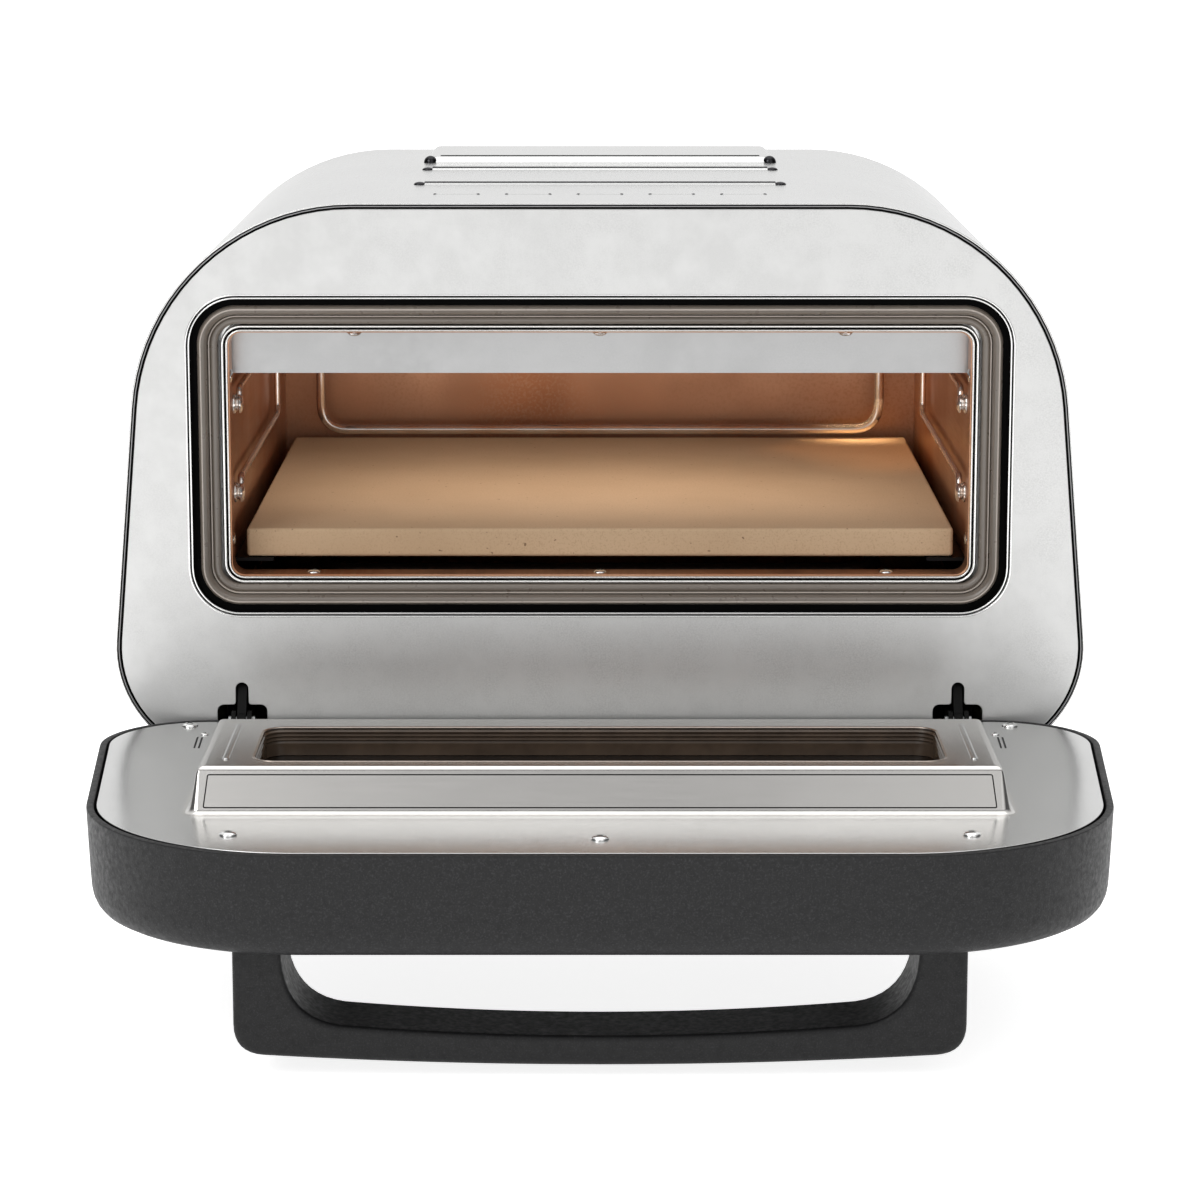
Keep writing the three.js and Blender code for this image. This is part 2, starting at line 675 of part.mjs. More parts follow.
add(bodyGroup, 'outer_shell', outerShell(), brushedSteel);
add(bodyGroup, 'front_panel', frontPanel(), brushedSteel);
add(bodyGroup, 'base_pan', basePan(), zincSteel);
add(bodyGroup, 'rear_housing', rearHousing(), charcoal);
add(bodyGroup, 'door_gasket', doorGasket(), gasketRubber);
add(bodyGroup, 'cavity_collar', cavityCollar(), brushedSteel);
add(bodyGroup, 'cavity_floor', flatLiner(chamber.floor - liner), warmSteel);
add(bodyGroup, 'cavity_ceiling', flatLiner(chamber.ceiling), warmSteel);
add(bodyGroup, 'cavity_back_wall', backWall(), warmSteel);
add(bodyGroup, 'front_baffle', frontBaffle(), brushedSteel);
add(bodyGroup, 'upper_heating_element', heatingElement(upperElement), elementSheath);
add(bodyGroup, 'lower_heating_element', heatingElement(lowerElement), elementSheath);
add(bodyGroup, 'pizza_stone', pizzaStone(), bakingStone);
add(bodyGroup, 'rear_stop_rod', rearStopRod(), brightRod);
add(bodyGroup, 'temperature_probe', temperatureProbe(), brightRod);
add(bodyGroup, 'insulation_wrap', insulationWrap(), mineralWool);
add(bodyGroup, 'insulation_back', insulationBack(), mineralWool);
add(bodyGroup, 'power_board', powerBoard(), circuitBoard);
add(bodyGroup, 'thermal_cutout', thermalCutout(), blackPanel);
add(bodyGroup, 'cord_gland', cordGland(), blackPanel);
add(bodyGroup, 'cooling_fan_frame', fanFrame(), blackPanel);
add(bodyGroup, 'cooling_fan_rotor', fanRotor(), blackPanel).position.set(fan.x, 0, fan.z);

add(doorGroup, 'door_frame', doorFrame(), charcoal);
add(doorGroup, 'door_inner_plate', doorInnerPlate(), brushedSteel);
add(doorGroup, 'inner_glass', innerGlass(), darkGlass);
add(doorGroup, 'window_tunnel', windowTunnel(), warmSteel);
add(doorGroup, 'outer_glass', outerGlass(), darkGlass);
add(doorGroup, 'outer_panel', outerPanel(), blackPanel);
add(doorGroup, 'control_glass', controlGlass(), darkGlass);
add(doorGroup, 'control_board', controlBoard(), circuitBoard);
add(doorGroup, 'door_handle', doorHandle(), charcoal);
plateScrews.forEach((place, i) =>
  add(doorGroup, `plate_screw_${i + 1}`, plateScrew(place), zincSteel));

for (const [word, side] of [['left', -1], ['right', 1]]) {
  add(bodyGroup, `cavity_${word}_wall`, wall(side), warmSteel);
  add(bodyGroup, `stone_support_${word}`, stoneSupport(side), warmSteel);
  add(bodyGroup, `side_guard_${word}`, sideGuard(side), brightRod);
  add(bodyGroup, `hinge_bracket_${word}`, hingeBracket(side), zincSteel);
  add(bodyGroup, `hinge_pin_${word}`, hingePin(side), zincSteel);
  add(doorGroup, `hinge_arm_${word}`, hingeArm(side), zincSteel);
  add(doorGroup, `handle_bolt_${word}`, handleBolt(side), zincSteel);
  for (const [end, y] of [['front', legs.frontY], ['rear', legs.rearY]]) {
    add(bodyGroup, `leg_${end}_${word}`, leg(), charcoal).position.set(side * legs.x, y, 0);
    add(bodyGroup, `foot_pad_${end}_${word}`, footPad(), footRubber)
      .position.set(side * legs.x, y, 0);
  }
}

export default oven;
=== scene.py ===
"""Countertop pizza oven: the looks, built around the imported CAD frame.

Sizes in this file are millimetres. Two placers turn them into the frame's metres: on_body
measures from the casing's front edge and foot, on_door from the door's hinge edge and rim.
"""
import math

import bmesh
import bpy
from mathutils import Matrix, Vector
from mathutils.geometry import tessellate_polygon


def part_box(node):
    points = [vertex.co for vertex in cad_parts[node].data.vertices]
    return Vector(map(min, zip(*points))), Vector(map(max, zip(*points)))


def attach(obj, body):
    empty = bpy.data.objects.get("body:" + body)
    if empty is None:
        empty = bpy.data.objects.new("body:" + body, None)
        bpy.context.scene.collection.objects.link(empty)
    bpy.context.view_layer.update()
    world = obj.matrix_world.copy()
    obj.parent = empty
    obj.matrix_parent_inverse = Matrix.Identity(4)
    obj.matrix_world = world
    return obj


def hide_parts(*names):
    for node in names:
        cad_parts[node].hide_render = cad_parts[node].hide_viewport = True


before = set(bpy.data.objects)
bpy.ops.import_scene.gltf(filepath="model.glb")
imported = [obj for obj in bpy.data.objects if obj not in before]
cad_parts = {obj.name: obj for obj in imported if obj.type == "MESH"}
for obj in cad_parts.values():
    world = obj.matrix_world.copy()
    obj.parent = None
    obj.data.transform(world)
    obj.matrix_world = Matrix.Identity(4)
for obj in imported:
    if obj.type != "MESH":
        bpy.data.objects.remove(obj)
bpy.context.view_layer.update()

MM = 0.001
shell_low, shell_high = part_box("outer_shell")
door_low, door_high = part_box("door_frame")

# ---------------- sizes

SHEET = 1.3
CASING_DEPTH = 322.0
CASING_TOP = 254.5
CASING = {"lean": math.radians(4.87), "lower": (168.0, 52.0, 52.0),
          "upper": (110.8, 154.2, 100.3)}
# The door's outline, measured from its hinge edge.
DOOR = {"lean": math.radians(4.4), "lower": (175.9, 46.0, 46.0), "upper": (119.5, 147.5, 94.5)}
DOOR_DEPTH = 43.0

# Rounded rectangles: half width, bottom, top, corner radius.
MOUTH = (185.0, 67.9, 212.7, 22.0)
LIP = (169.9, 82.0, 198.3, 8.5)
PAN = (171.5, 64.5, 177.5, 6.5)
WINDOW = (144.0, 94.0, 156.5, 9.0)
PAN_HEIGHT = 18.0
HINGE_X = 163.0
BOLT_PLACES = ((-185.4, 13), (185.4, 13), (-149.4, 209), (149.4, 209), (0, 215.5))


def on_body(x, y, z):
    """Body place: x across, y back from the front edge, z up from the casing's foot."""
    return Vector((x * MM, shell_low.y + y * MM, shell_low.z + z * MM))


def on_door(x, out, up):
    """Door place: x across, out from the hinge edge, up from the rim of the open door."""
    return Vector((x * MM, door_high.y - out * MM, door_high.z + up * MM))


# ---------------- outlines


def arc(cx, cz, radius, start, end, steps):
    """Points on a circle, from one angle to another."""
    turns = [start + (end - start) * i / steps for i in range(steps + 1)]
    return [(cx + radius * math.cos(t), cz + radius * math.sin(t)) for t in turns]


def domed(shape, inset=0.0, steps=20):
    """The casing's or the door's outline, right half up and left half down."""
    lower_x, lower_z, lower_r = shape["lower"]
    upper_x, upper_z, upper_r = shape["upper"]
    quarter = math.pi / 2
    right = arc(lower_x, lower_z, lower_r - inset, -quarter, shape["lean"], steps)
    right += arc(upper_x, upper_z, upper_r - inset, shape["lean"], quarter, steps)
    return right + [(-x, z) for x, z in reversed(right)]


def rounded(box, inset=0.0, inset_z=None, steps=10):
    """A rectangle with round corners."""
    half, low, high, radius = box
    inset_z = inset if inset_z is None else inset_z
    r = max(radius - inset, 0.4)
    x, low, high = half - inset - r, low + inset_z + r, high - inset_z - r
    corners = ((x, low), (x, high), (-x, high), (-x, low))
    points = []
    for i, (cx, cz) in enumerate(corners):
        points += arc(cx, cz, r, (i - 1) * math.pi / 2, i * math.pi / 2, steps)
    return points


def casing_line(inset):
    return domed(CASING, inset)


def door_line(inset):
    return domed(DOOR, inset, 26)


def line_of(box, steps=10):
    """A rounded rectangle's outline as a function of its inset."""
    return lambda inset: rounded(box, inset, steps=steps)


def smooth_section(points, radius, steps=4):
    """A closed section whose corners are rounded by up to the given radius."""
    result = []
    count = len(points)
    for i, point in enumerate(points):
        here = Vector(point)
        ends = []
        for other in (points[i - 1], points[(i + 1) % count]):
            side = Vector(other) - here
            reach = min(radius, side.length * 0.45)
            ends.append(here + side.normalized() * reach)
        for step in range(steps + 1):
            t = step / steps
            result.append(tuple(ends[0] * (1 - t) ** 2 + here * 2 * t * (1 - t) + ends[1] * t * t))
    return result


# ---------------- mesh work


def facing_out(mesh):
    """Joins doubled points, turns the faces out and marks the sharp edges."""
    work = bmesh.new()
    work.from_mesh(mesh)
    bmesh.ops.remove_doubles(work, verts=work.verts, dist=1e-6)
    bmesh.ops.recalc_face_normals(work, faces=work.faces)
    sharp = math.radians(38)
    for edge in work.edges:
        edge.smooth = len(edge.link_faces) == 2 and edge.calc_face_angle(0) < sharp
    for face in work.faces:
        face.smooth = True
    work.to_mesh(mesh)
    work.free()


def new_mesh(name, shape):
    """A mesh made of a shape: its points and its faces."""
    verts, faces = shape
    mesh = bpy.data.meshes.new(name)
    mesh.from_pydata([tuple(v) for v in verts], [], faces)
    facing_out(mesh)
    return mesh


def new_object(name, data):
    """An object in the scene."""
    obj = bpy.data.objects.new(name, data)
    bpy.context.collection.objects.link(obj)
    return obj


def keep_flat(obj):
    """Shades flat faces flat beside rounded edges."""
    level = obj.modifiers.new("flat faces stay flat", "WEIGHTED_NORMAL")
    level.keep_sharp = True


def piece(name, shape, body, material, replaces=()):
    """A finished mesh that rides on a body and stands for the named CAD nodes."""
    obj = new_object(name, new_mesh(name, shape))
    obj.data.materials.append(material)
    keep_flat(obj)
    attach(obj, body)
    if replaces:
        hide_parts(*replaces)
    return obj


def skin(loops, ring=False):
    """Faces over loops of equal length: a ring, or a bar with two caps."""
    count = len(loops[0])
    verts = [point for loop in loops for point in loop]
    faces = []
    bands = len(loops) if ring else len(loops) - 1
    for band in range(bands):
        here, there = band * count, (band + 1) % len(loops) * count
        for i in range(count):
            j = (i + 1) % count
            faces.append((here + i, here + j, there + j, there + i))
    if not ring:
        faces.append(tuple(range(count)))
        last = len(verts) - count
        faces.append(tuple(last + i for i in range(count)))
    return verts, faces


def hoop(outline, section, place):
    """A ring: a closed section of (inset, depth) swept around an outline."""
    return skin([[place(x, z, d) for x, z in outline(inset)] for inset, d in section], ring=True)


def slab(outer, holes, depth, edge, place, steps=3):
    """A sheet with holes and softly rounded edges. Outlines are functions of their inset."""
    quarter = [i * math.pi / 2 / steps for i in range(steps + 1)]
    rim = [(edge * (1 - math.sin(t)), edge * (1 - math.cos(t))) for t in quarter]
    levels = rim + [(inset, depth - d) for inset, d in reversed(rim)]
    verts, faces = [], []
    front, back = [], []
    for sign, outline in [(1, outer)] + [(-1, hole) for hole in holes]:
        loops = [[place(x, z, d) for x, z in outline(sign * inset)] for inset, d in levels]
        start = len(verts)
        count = len(loops[0])
        for loop in loops:
            verts += loop
        for band in range(len(loops) - 1):
            here = start + band * count
            for i in range(count):
                j = (i + 1) % count
                faces.append((here + i, here + j, here + count + j, here + count + i))
        front.append((start, [(x, z) for x, z in outline(sign * edge)]))
        back.append((start + (len(loops) - 1) * count, front[-1][1]))
    for side in (front, back):
        index = [start + i for start, line in side for i in range(len(line))]
        flat = [[Vector((x, z, 0)) for x, z in line] for _, line in side]
        faces += [tuple(index[i] for i in tri) for tri in tessellate_polygon(flat)]
    return verts, faces


def lathe(profile, centre, axis, steps=40):
    """A turned solid: profile is (radius, height) from the axis out and back to it."""
    axis = Vector(axis).normalized()
    side = axis.orthogonal().normalized()
    other = axis.cross(side)
    loops = []
    for radius, height in profile:
        radius = max(radius, 0.01) * MM
        turns = [2 * math.pi * i / steps for i in range(steps)]
        loops.append([centre + axis * height * MM
                      + (side * math.cos(t) + other * math.sin(t)) * radius for t in turns])
    return skin(loops)


def bent(corners, bend, steps=8):
    """Points along straight runs joined by round bends."""
    points = [Vector(corners[0])]
    for before, here, after in zip(corners, corners[1:], corners[2:]):
        here = Vector(here)
        start = here + (Vector(before) - here).normalized() * bend
        end = here + (Vector(after) - here).normalized() * bend
        for i in range(steps + 1):
            t = i / steps
            points.append(start * (1 - t) ** 2 + here * 2 * t * (1 - t) + end * t * t)
    points.append(Vector(corners[-1]))
    return points


def tube(points, radius, sides=18):
    """A round rod of a radius in mm along points in the frame's metres, with rounded ends."""
    points = [Vector(p) for p in points]
    tangents = []
    for i in range(len(points)):
        ahead, behind = points[min(i + 1, len(points) - 1)], points[max(i - 1, 0)]
        tangents.append((ahead - behind).normalized())
    side = tangents[0].orthogonal().normalized()
    loops = []
    previous = tangents[0]
    for point, tangent in zip(points, tangents):
        side = previous.rotation_difference(tangent) @ side
        previous = tangent
        other = tangent.cross(side)
        turns = [2 * math.pi * i / sides for i in range(sides)]
        ring = [(side * math.cos(t) + other * math.sin(t)) * radius * MM for t in turns]
        loops.append([point + offset for offset in ring])

    def nose(loop, centre, outward):
        """A smaller loop just past an end, which rounds the end off."""
        return [centre + (p - centre) * 0.7 + outward * radius * MM * 0.3 for p in loop]

    first = nose(loops[0], points[0], -tangents[0])
    last = nose(loops[-1], points[-1], tangents[-1])
    return skin([first] + loops + [last])


def merge(*parts):
    """Several (verts, faces) in one mesh."""
    verts, faces = [], []
    for part_verts, part_faces in parts:
        start = len(verts)
        verts += part_verts
        faces += [tuple(start + i for i in face) for face in part_faces]
    return verts, faces


def carve(obj, *cutters):
    """Cuts closed meshes out of a piece and keeps the result."""
    for shape in cutters:
        mesh = new_mesh("cutter", shape)
        tool = new_object("cutter", mesh)
        cut = obj.modifiers.new("cut", "BOOLEAN")
        cut.object = tool
        cut.solver = "EXACT"
        with bpy.context.temp_override(object=obj, active_object=obj):
            bpy.ops.object.modifier_move_to_index(modifier="cut", index=0)
            bpy.ops.object.modifier_apply(modifier="cut")
        bpy.data.objects.remove(tool)
        bpy.data.meshes.remove(mesh)
    facing_out(obj.data)


def box_cutter(place, xs, ys, zs):
    """A plain closed box between two limits on each axis, to cut with."""
    loops = [[place(x, y, z) for x, z in
              ((xs[0], zs[0]), (xs[1], zs[0]), (xs[1], zs[1]), (xs[0], zs[1]))] for y in ys]
    return skin(loops)


def soften(obj, width):
    """Rounds the sharp edges of a CAD node."""
    bevel = obj.modifiers.new("edges", "BEVEL")
    bevel.width = width * MM
    bevel.segments = 2
    bevel.limit_method = "ANGLE"
    bevel.angle_limit = math.radians(40)
    keep_flat(obj)


# ---------------- materials


def rgb(red, green, blue):
    """A display colour, 0 to 255, as linear light."""
    def linear(value):
        value /= 255
        return value / 12.92 if value < 0.04045 else ((value + 0.055) / 1.055) ** 2.4
    return (linear(red), linear(green), linear(blue), 1.0)


def darker(colour, share):
    """The colour with this share of its light."""
    return tuple(channel * share for channel in colour[:3]) + (1.0,)


class Finish:
    """A node material around one Principled shader, with noise in object space."""

    def __init__(self, name, colour, roughness, metallic=0.0, **sockets):
        self.material = bpy.data.materials.new(name)
        self.material.use_nodes = True
        self.nodes = self.material.node_tree.nodes
        self.links = self.material.node_tree.links
        self.shader = self.nodes["Principled BSDF"]
        self.colour = colour
        self.shader.inputs["Base Color"].default_value = colour
        self.shader.inputs["Roughness"].default_value = roughness
        self.shader.inputs["Metallic"].default_value = metallic
        for socket, value in sockets.items():
            self.shader.inputs[socket.replace("_", " ")].default_value = value
        self.place = self.nodes.new("ShaderNodeTexCoord").outputs["Object"]

    def noise(self, per_metre, detail=3.0, stretch=(1, 1, 1)):
        """Noise with this many lumps in a metre, finer along an axis with a larger stretch."""
        mapping = self.nodes.new("ShaderNodeMapping")
        mapping.inputs["Scale"].default_value = [per_metre * s for s in stretch]
        self.links.new(self.place, mapping.inputs["Vector"])
        noise = self.nodes.new("ShaderNodeTexNoise")
        noise.inputs["Scale"].default_value = 1.0
        noise.inputs["Detail"].default_value = detail
        noise.inputs["Roughness"].default_value = 0.55
        self.links.new(mapping.outputs["Vector"], noise.inputs["Vector"])
        return noise.outputs["Fac"]

    def spread(self, source, low, high, from_low=0.3, from_high=0.7):
        """Maps a texture value to a range."""
        node = self.nodes.new("ShaderNodeMapRange")
        for socket, value in (("From Min", from_low), ("From Max", from_high),
                              ("To Min", low), ("To Max", high)):
            node.inputs[socket].default_value = value
        self.links.new(source, node.inputs["Value"])
        return node.outputs["Result"]

    def tint(self, source, other, low=0.35, high=0.65):
        """Blends the base colour towards another where the texture is high."""
        mix = self.nodes.new("ShaderNodeMix")
        mix.data_type = "RGBA"
        base = self.shader.inputs["Base Color"]
        if base.is_linked:
            self.links.new(base.links[0].from_socket, mix.inputs[6])
        else:
            mix.inputs[6].default_value = self.colour
        mix.inputs[7].default_value = other
        self.links.new(self.spread(source, 0.0, 1.0, low, high), mix.inputs[0])
        self.links.new(mix.outputs[2], base)

    def polish(self, source, low, high):
        """Varies the roughness."""
        self.links.new(self.spread(source, low, high), self.shader.inputs["Roughness"])

    def bump(self, source, height):
        """Adds relief of a height in mm on top of any that is there."""
        node = self.nodes.new("ShaderNodeBump")
        node.inputs["Distance"].default_value = height * MM
        node.inputs["Strength"].default_value = 1.0
        normal = self.shader.inputs["Normal"]
        if normal.is_linked:
            self.links.new(normal.links[0].from_socket, node.inputs["Normal"])
        self.links.new(source, node.inputs["Height"])
        self.links.new(node.outputs["Normal"], normal)


def satin_steel(name, colour, roughness, along=(1, 1, 1), relief=0.0002, cloudy=0.93,
                grainy=0.9, metallic=1.0):
    """Stainless sheet: a fine random grain, faint brushing along one way, cloudy patches."""
    finish = Finish(name, colour, roughness, metallic)
    grain = finish.noise(1400, 2.0)
    brush = finish.noise(900, 2.0, along)
    finish.polish(brush, roughness - 0.015, roughness + 0.015)
    finish.tint(grain, darker(colour, grainy), 0.3, 0.75)
    finish.tint(finish.noise(11, 3.0), darker(colour, cloudy), 0.38, 0.66)
    finish.tint(finish.noise(75, 3.0), darker(colour, 0.96), 0.4, 0.7)
    finish.bump(grain, relief)
    return finish.material


def sand_paint(name, colour, relief=0.05):
    """Powder coat or moulded plastic with a fine sand texture."""
    finish = Finish(name, colour, 0.55, 0.0, Specular_IOR_Level=0.3)
    grains = finish.noise(1300, 2.0)
    patches = finish.noise(420, 3.0)
    finish.tint(grains, tuple(min(c * 3.2, 1) for c in colour[:3]) + (1,), 0.52, 0.72)
    finish.polish(patches, 0.42, 0.62)
    finish.bump(grains, relief)
    finish.bump(patches, relief)
    return finish.material


def fired_stone():
    finish = Finish("fired stone", rgb(196, 168, 136), 0.82)
    finish.tint(finish.noise(9, 4.0), rgb(184, 156, 124), 0.35, 0.7)
    finish.tint(finish.noise(1100, 3.0), rgb(178, 150, 118), 0.5, 0.75)
    finish.tint(finish.noise(420, 1.0), rgb(124, 98, 72), 0.73, 0.79)
    finish.bump(finish.noise(1300, 4.0), 0.05)
    finish.bump(finish.noise(220, 3.0), 0.06)
    return finish.material


def heat_tint_and_glow_steel():
    """Chamber steel, tinted copper: partly heat tint, partly the warm glow of the elements painted
    in.
    """
    finish = Finish("heat tint and painted glow steel", rgb(202, 158, 128), 0.36, 0.9)
    finish.tint(finish.noise(7, 2.0), rgb(170, 108, 72), 0.35, 0.7)
    finish.tint(finish.noise(700, 2.0, (1, 0.05, 1)), rgb(186, 138, 106), 0.45, 0.75)
    finish.polish(finish.noise(30, 2.0), 0.3, 0.42)
    return finish.material


def rubber(name, colour, roughness, gloss=0.5):
    finish = Finish(name, colour, roughness, 0.0, Specular_IOR_Level=gloss)
    finish.tint(finish.noise(60, 2.0), darker(colour, 0.94))
    finish.polish(finish.noise(200, 2.0), roughness - 0.03, roughness + 0.03)
    finish.bump(finish.noise(900, 2.0), 0.001)
    return finish.material


def polished_rod():
    finish = Finish("polished rod", rgb(236, 232, 228), 0.14, 0.9)
    finish.polish(finish.noise(240, 3.0), 0.07, 0.18)
    finish.tint(finish.noise(40, 2.0), rgb(224, 204, 188), 0.4, 0.7)
    return finish.material


def element_sheath():
    finish = Finish("element sheath", rgb(58, 46, 40), 0.5, 0.7)
    finish.tint(finish.noise(300, 4.0), rgb(46, 38, 34))
    finish.bump(finish.noise(700, 3.0), 0.03)
    finish.polish(finish.noise(200, 2.0), 0.42, 0.58)
    return finish.material


def tinted_glass(name, colour):
    finish = Finish(name, colour, 0.02, 0.0, IOR=1.5, Transmission_Weight=1.0)
    finish.polish(finish.noise(20, 2.0), 0.01, 0.03)
    return finish.material


def gloss_black(name, colour):
    finish = Finish(name, colour, 0.12, 0.0)
    finish.tint(finish.noise(60, 3.0), darker(colour, 0.7))
    finish.polish(finish.noise(30, 3.0), 0.08, 0.16)
    finish.bump(finish.noise(500, 2.0), 0.002)
    return finish.material


def wool():
    finish = Finish("mineral wool", rgb(216, 210, 196), 0.95)
    finish.tint(finish.noise(260, 5.0), rgb(180, 168, 140))
    finish.bump(finish.noise(500, 5.0), 0.4)
    return finish.material


def solder_mask():
    finish = Finish("solder mask", rgb(26, 92, 52), 0.35)
    finish.tint(finish.noise(600, 1.0, (1, 0.2, 1)), rgb(16, 66, 36))
    finish.bump(finish.noise(900, 1.0), 0.02)
    return finish.material


FACE_STEEL = satin_steel("face steel", rgb(211, 211, 210), 0.32, (0.05, 1, 1), 0.0004, 0.88,
                         0.8, 0.65)
WRAP_STEEL = satin_steel("wrap steel", rgb(218, 218, 217), 0.26, (1, 0.05, 1), grainy=0.95)
PLATE_STEEL = satin_steel("plate steel", rgb(214, 214, 213), 0.22, (1, 0.05, 1), grainy=0.96)
PAN_STEEL = satin_steel("pan steel", rgb(214, 212, 209), 0.2, (0.05, 1, 1), grainy=0.95)
BAFFLE_STEEL = satin_steel("baffle steel", rgb(176, 176, 176), 0.32, (0.05, 1, 1), 0.0004, 0.86)
BRIGHT_STEEL = satin_steel("bright steel", rgb(238, 238, 237), 0.16, grainy=0.98)
LIP_STEEL = satin_steel("lip steel", rgb(246, 245, 243), 0.22, cloudy=0.98, grainy=0.99)
COPPERED = satin_steel("coppered steel", rgb(204, 192, 182), 0.22, grainy=0.97)
# A dark steel used only for strips and domes that paint shade and dark reflections on the top.
PAINTED_SHADE_STEEL = satin_steel("painted shade steel", rgb(52, 52, 54), 0.18)
# The wrap's steel made darker, as painted shade on its folded edge.
FOLD_SHADED_STEEL = satin_steel("fold steel painted shade", rgb(150, 150, 151), 0.3)
ZINC = satin_steel("zinc plate", rgb(176, 178, 178), 0.34)
# Near black steel that paints the shade in the hinge slots, under the stone and in the clip's
# slits.
BLACKENED_FOR_SHADE = satin_steel("steel blackened for shade", rgb(30, 30, 30), 0.5)
HEAT_TINT_AND_GLOW = heat_tint_and_glow_steel()
ROD = polished_rod()
SHEATH = element_sheath()
POWDER = sand_paint("powder coat", rgb(20, 20, 21))
MOULDED = sand_paint("moulded charcoal", rgb(14, 14, 15), 0.03)
BLACK_PLASTIC = sand_paint("black plastic", rgb(22, 22, 23), 0.02)
GLOSS = gloss_black("gloss black", rgb(20, 20, 22))
BROWN_ENAMEL = gloss_black("brown enamel", rgb(84, 70, 58))
SILICONE = rubber("silicone", rgb(112, 103, 94), 0.3, 0.8)
# The seal's silicone made lighter, as painted highlight lines.
SILICONE_HIGHLIGHT = rubber("silicone painted highlight", rgb(176, 166, 156), 0.3, 0.8)
# A near black rubber used only to paint the shade in gaps, grooves and creases.
PAINTED_SHADE_BLACK = rubber("painted shade black", rgb(7, 7, 7), 0.8, 0.05)
FOOT_RUBBER = rubber("foot rubber", rgb(30, 30, 31), 0.7)
STONE = fired_stone()
INNER_PANE = tinted_glass("inner pane", rgb(150, 136, 120))
OUTER_PANE = tinted_glass("outer pane", rgb(40, 34, 30))
WOOL = wool()
BOARD = solder_mask()

# ---------------- casing


def casing_face(x, z, depth):
    """A place on the casing's front: depth goes back from its front edge."""
    return on_body(x, depth, z)


def pressed_bead(x, y, half_length, width, height):
    """A long bead pressed out of the top, with round ends that fall away softly."""
    loops = []
    steps = 8
    for i in range(steps + 1):
        t = i / steps * math.pi
        inset = width / 2 * i / steps * 0.96
        rise = height * (1 - math.cos(t)) / 2 - 0.05
        radius = width / 2 - inset
        end = half_length - width / 2
        right = arc(end, 0, radius, -math.pi / 2, math.pi / 2, 12)
        outline = right + [(-px, py) for px, py in reversed(right)]
        loops.append([on_body(x + px, y + py, CASING_TOP + rise) for px, py in outline])
    return skin(loops)


def make_casing():
    """The wrapped sheet with its folded front edge, what is pressed into it, and the front."""
    section = smooth_section(
        [(0, 0), (0, CASING_DEPTH), (SHEET, CASING_DEPTH), (SHEET, 2.4), (0.75, 1.8),
         (0.75, 0)], 0.34)
    shape = hoop(casing_line, section, casing_face)
    shell = piece("casing_wrap", shape, "oven", WRAP_STEEL,
                  ["outer_shell"])
    carve(shell, box_cutter(on_body, (-150, 150), (10, CASING_DEPTH - 10), (-3, 3)))

    # The wrap's front edge is folded: an inner fold between two gaps. The fold is a darker steel
    # than the wrap it is folded from, which paints shade on it, and a black strip behind the gaps
    # paints the shade in them.
    fold = smooth_section([(1.25, 0.2), (1.25, 2.3), (1.75, 2.3), (1.75, 0.2)], 0.2)
    piece("casing_fold", hoop(casing_line, fold, casing_face), "oven", FOLD_SHADED_STEEL)
    # A black strip behind the fold's gaps: painted shade.
    strip = [(0.72, 1.3), (0.72, 2.4), (3.4, 2.4), (3.4, 1.85), (2.7, 1.3)]
    shape = hoop(casing_line, strip, casing_face)
    piece("casing_fold_painted_shade", shape, "oven", PAINTED_SHADE_BLACK)
    make_beads()
    make_raised_panel()
    make_front_face()


def make_front_face():
    """The flat front with its mouth and two hinge slots, and the two bright rims of the mouth."""
    holes = [lambda inset: rounded(MOUTH, inset - 0.3), hinge_slot(-1), hinge_slot(1)]
    shape = slab(lambda inset: casing_line(2.7 + inset), holes, 1.2, 0.3,
                 lambda x, z, d: on_body(x, 0.6 + d, z))
    piece("front_face", shape, "oven", FACE_STEEL, ["front_panel"])
    for name, start, end, front in (("mouth_rim", -1.15, -0.35, 0.15),
                                    ("mouth_trim", 0.3, 1.1, 0.6)):
        rim = smooth_section([(start, front), (start, 2), (end, 2), (end, front)], 0.38)
        shape = hoop(line_of(MOUTH, 16), rim, casing_face)
        piece(name, shape, "oven", BRIGHT_STEEL)


def dome(place, radius, height):
    """A low round dome on the casing's top."""
    profile = [(radius * math.cos(t), height * math.sin(t))
               for t in (i / 8 * math.pi / 2 for i in range(8))]
    profile = [(radius, -0.3)] + profile + [(0.01, height)]
    return lathe(profile, place, (0, 0, 1), 28)


def make_beads():
    """Two long beads and five short nibs across the top. A dark strip just behind each bead's
    crest is painted shade, and dark domes at all their ends are painted dark reflections.
    """
    ends = []
    for i, (y, height) in enumerate(((99, 0.85), (185.5, 1.0))):
        shape = pressed_bead(0, y, 87.2, 5.4, height)
        piece(f"casing_bead_{i + 1}", shape, "oven", WRAP_STEEL)
        # A thin dark strip behind the crest: painted shade along the bead's top.
        shape = pressed_bead(0, y + 2.6, 83, 1.4, height + 0.45)
        piece(f"casing_bead_painted_shade_{i + 1}", shape, "oven", PAINTED_SHADE_STEEL)
        # Dark domes at the bead ends: painted dark reflections.
        ends += [dome(on_body(side * 84.6, y, CASING_TOP), 2.9, 1.35) for side in (-1, 1)]
    for i in range(5):
        x = (i - 2) * 32.7
        shape = pressed_bead(x, 46, 10.75, 2.6, 0.3)
        piece(f"casing_nib_{i + 1}", shape, "oven", WRAP_STEEL)
        # Dark domes at the nib ends: painted dark reflections.
        ends += [dome(on_body(x + side * 9.8, 46, CASING_TOP), 0.9, 0.4) for side in (-1, 1)]
    piece("casing_bead_painted_dark_ends", merge(*ends), "oven", PAINTED_SHADE_STEEL)


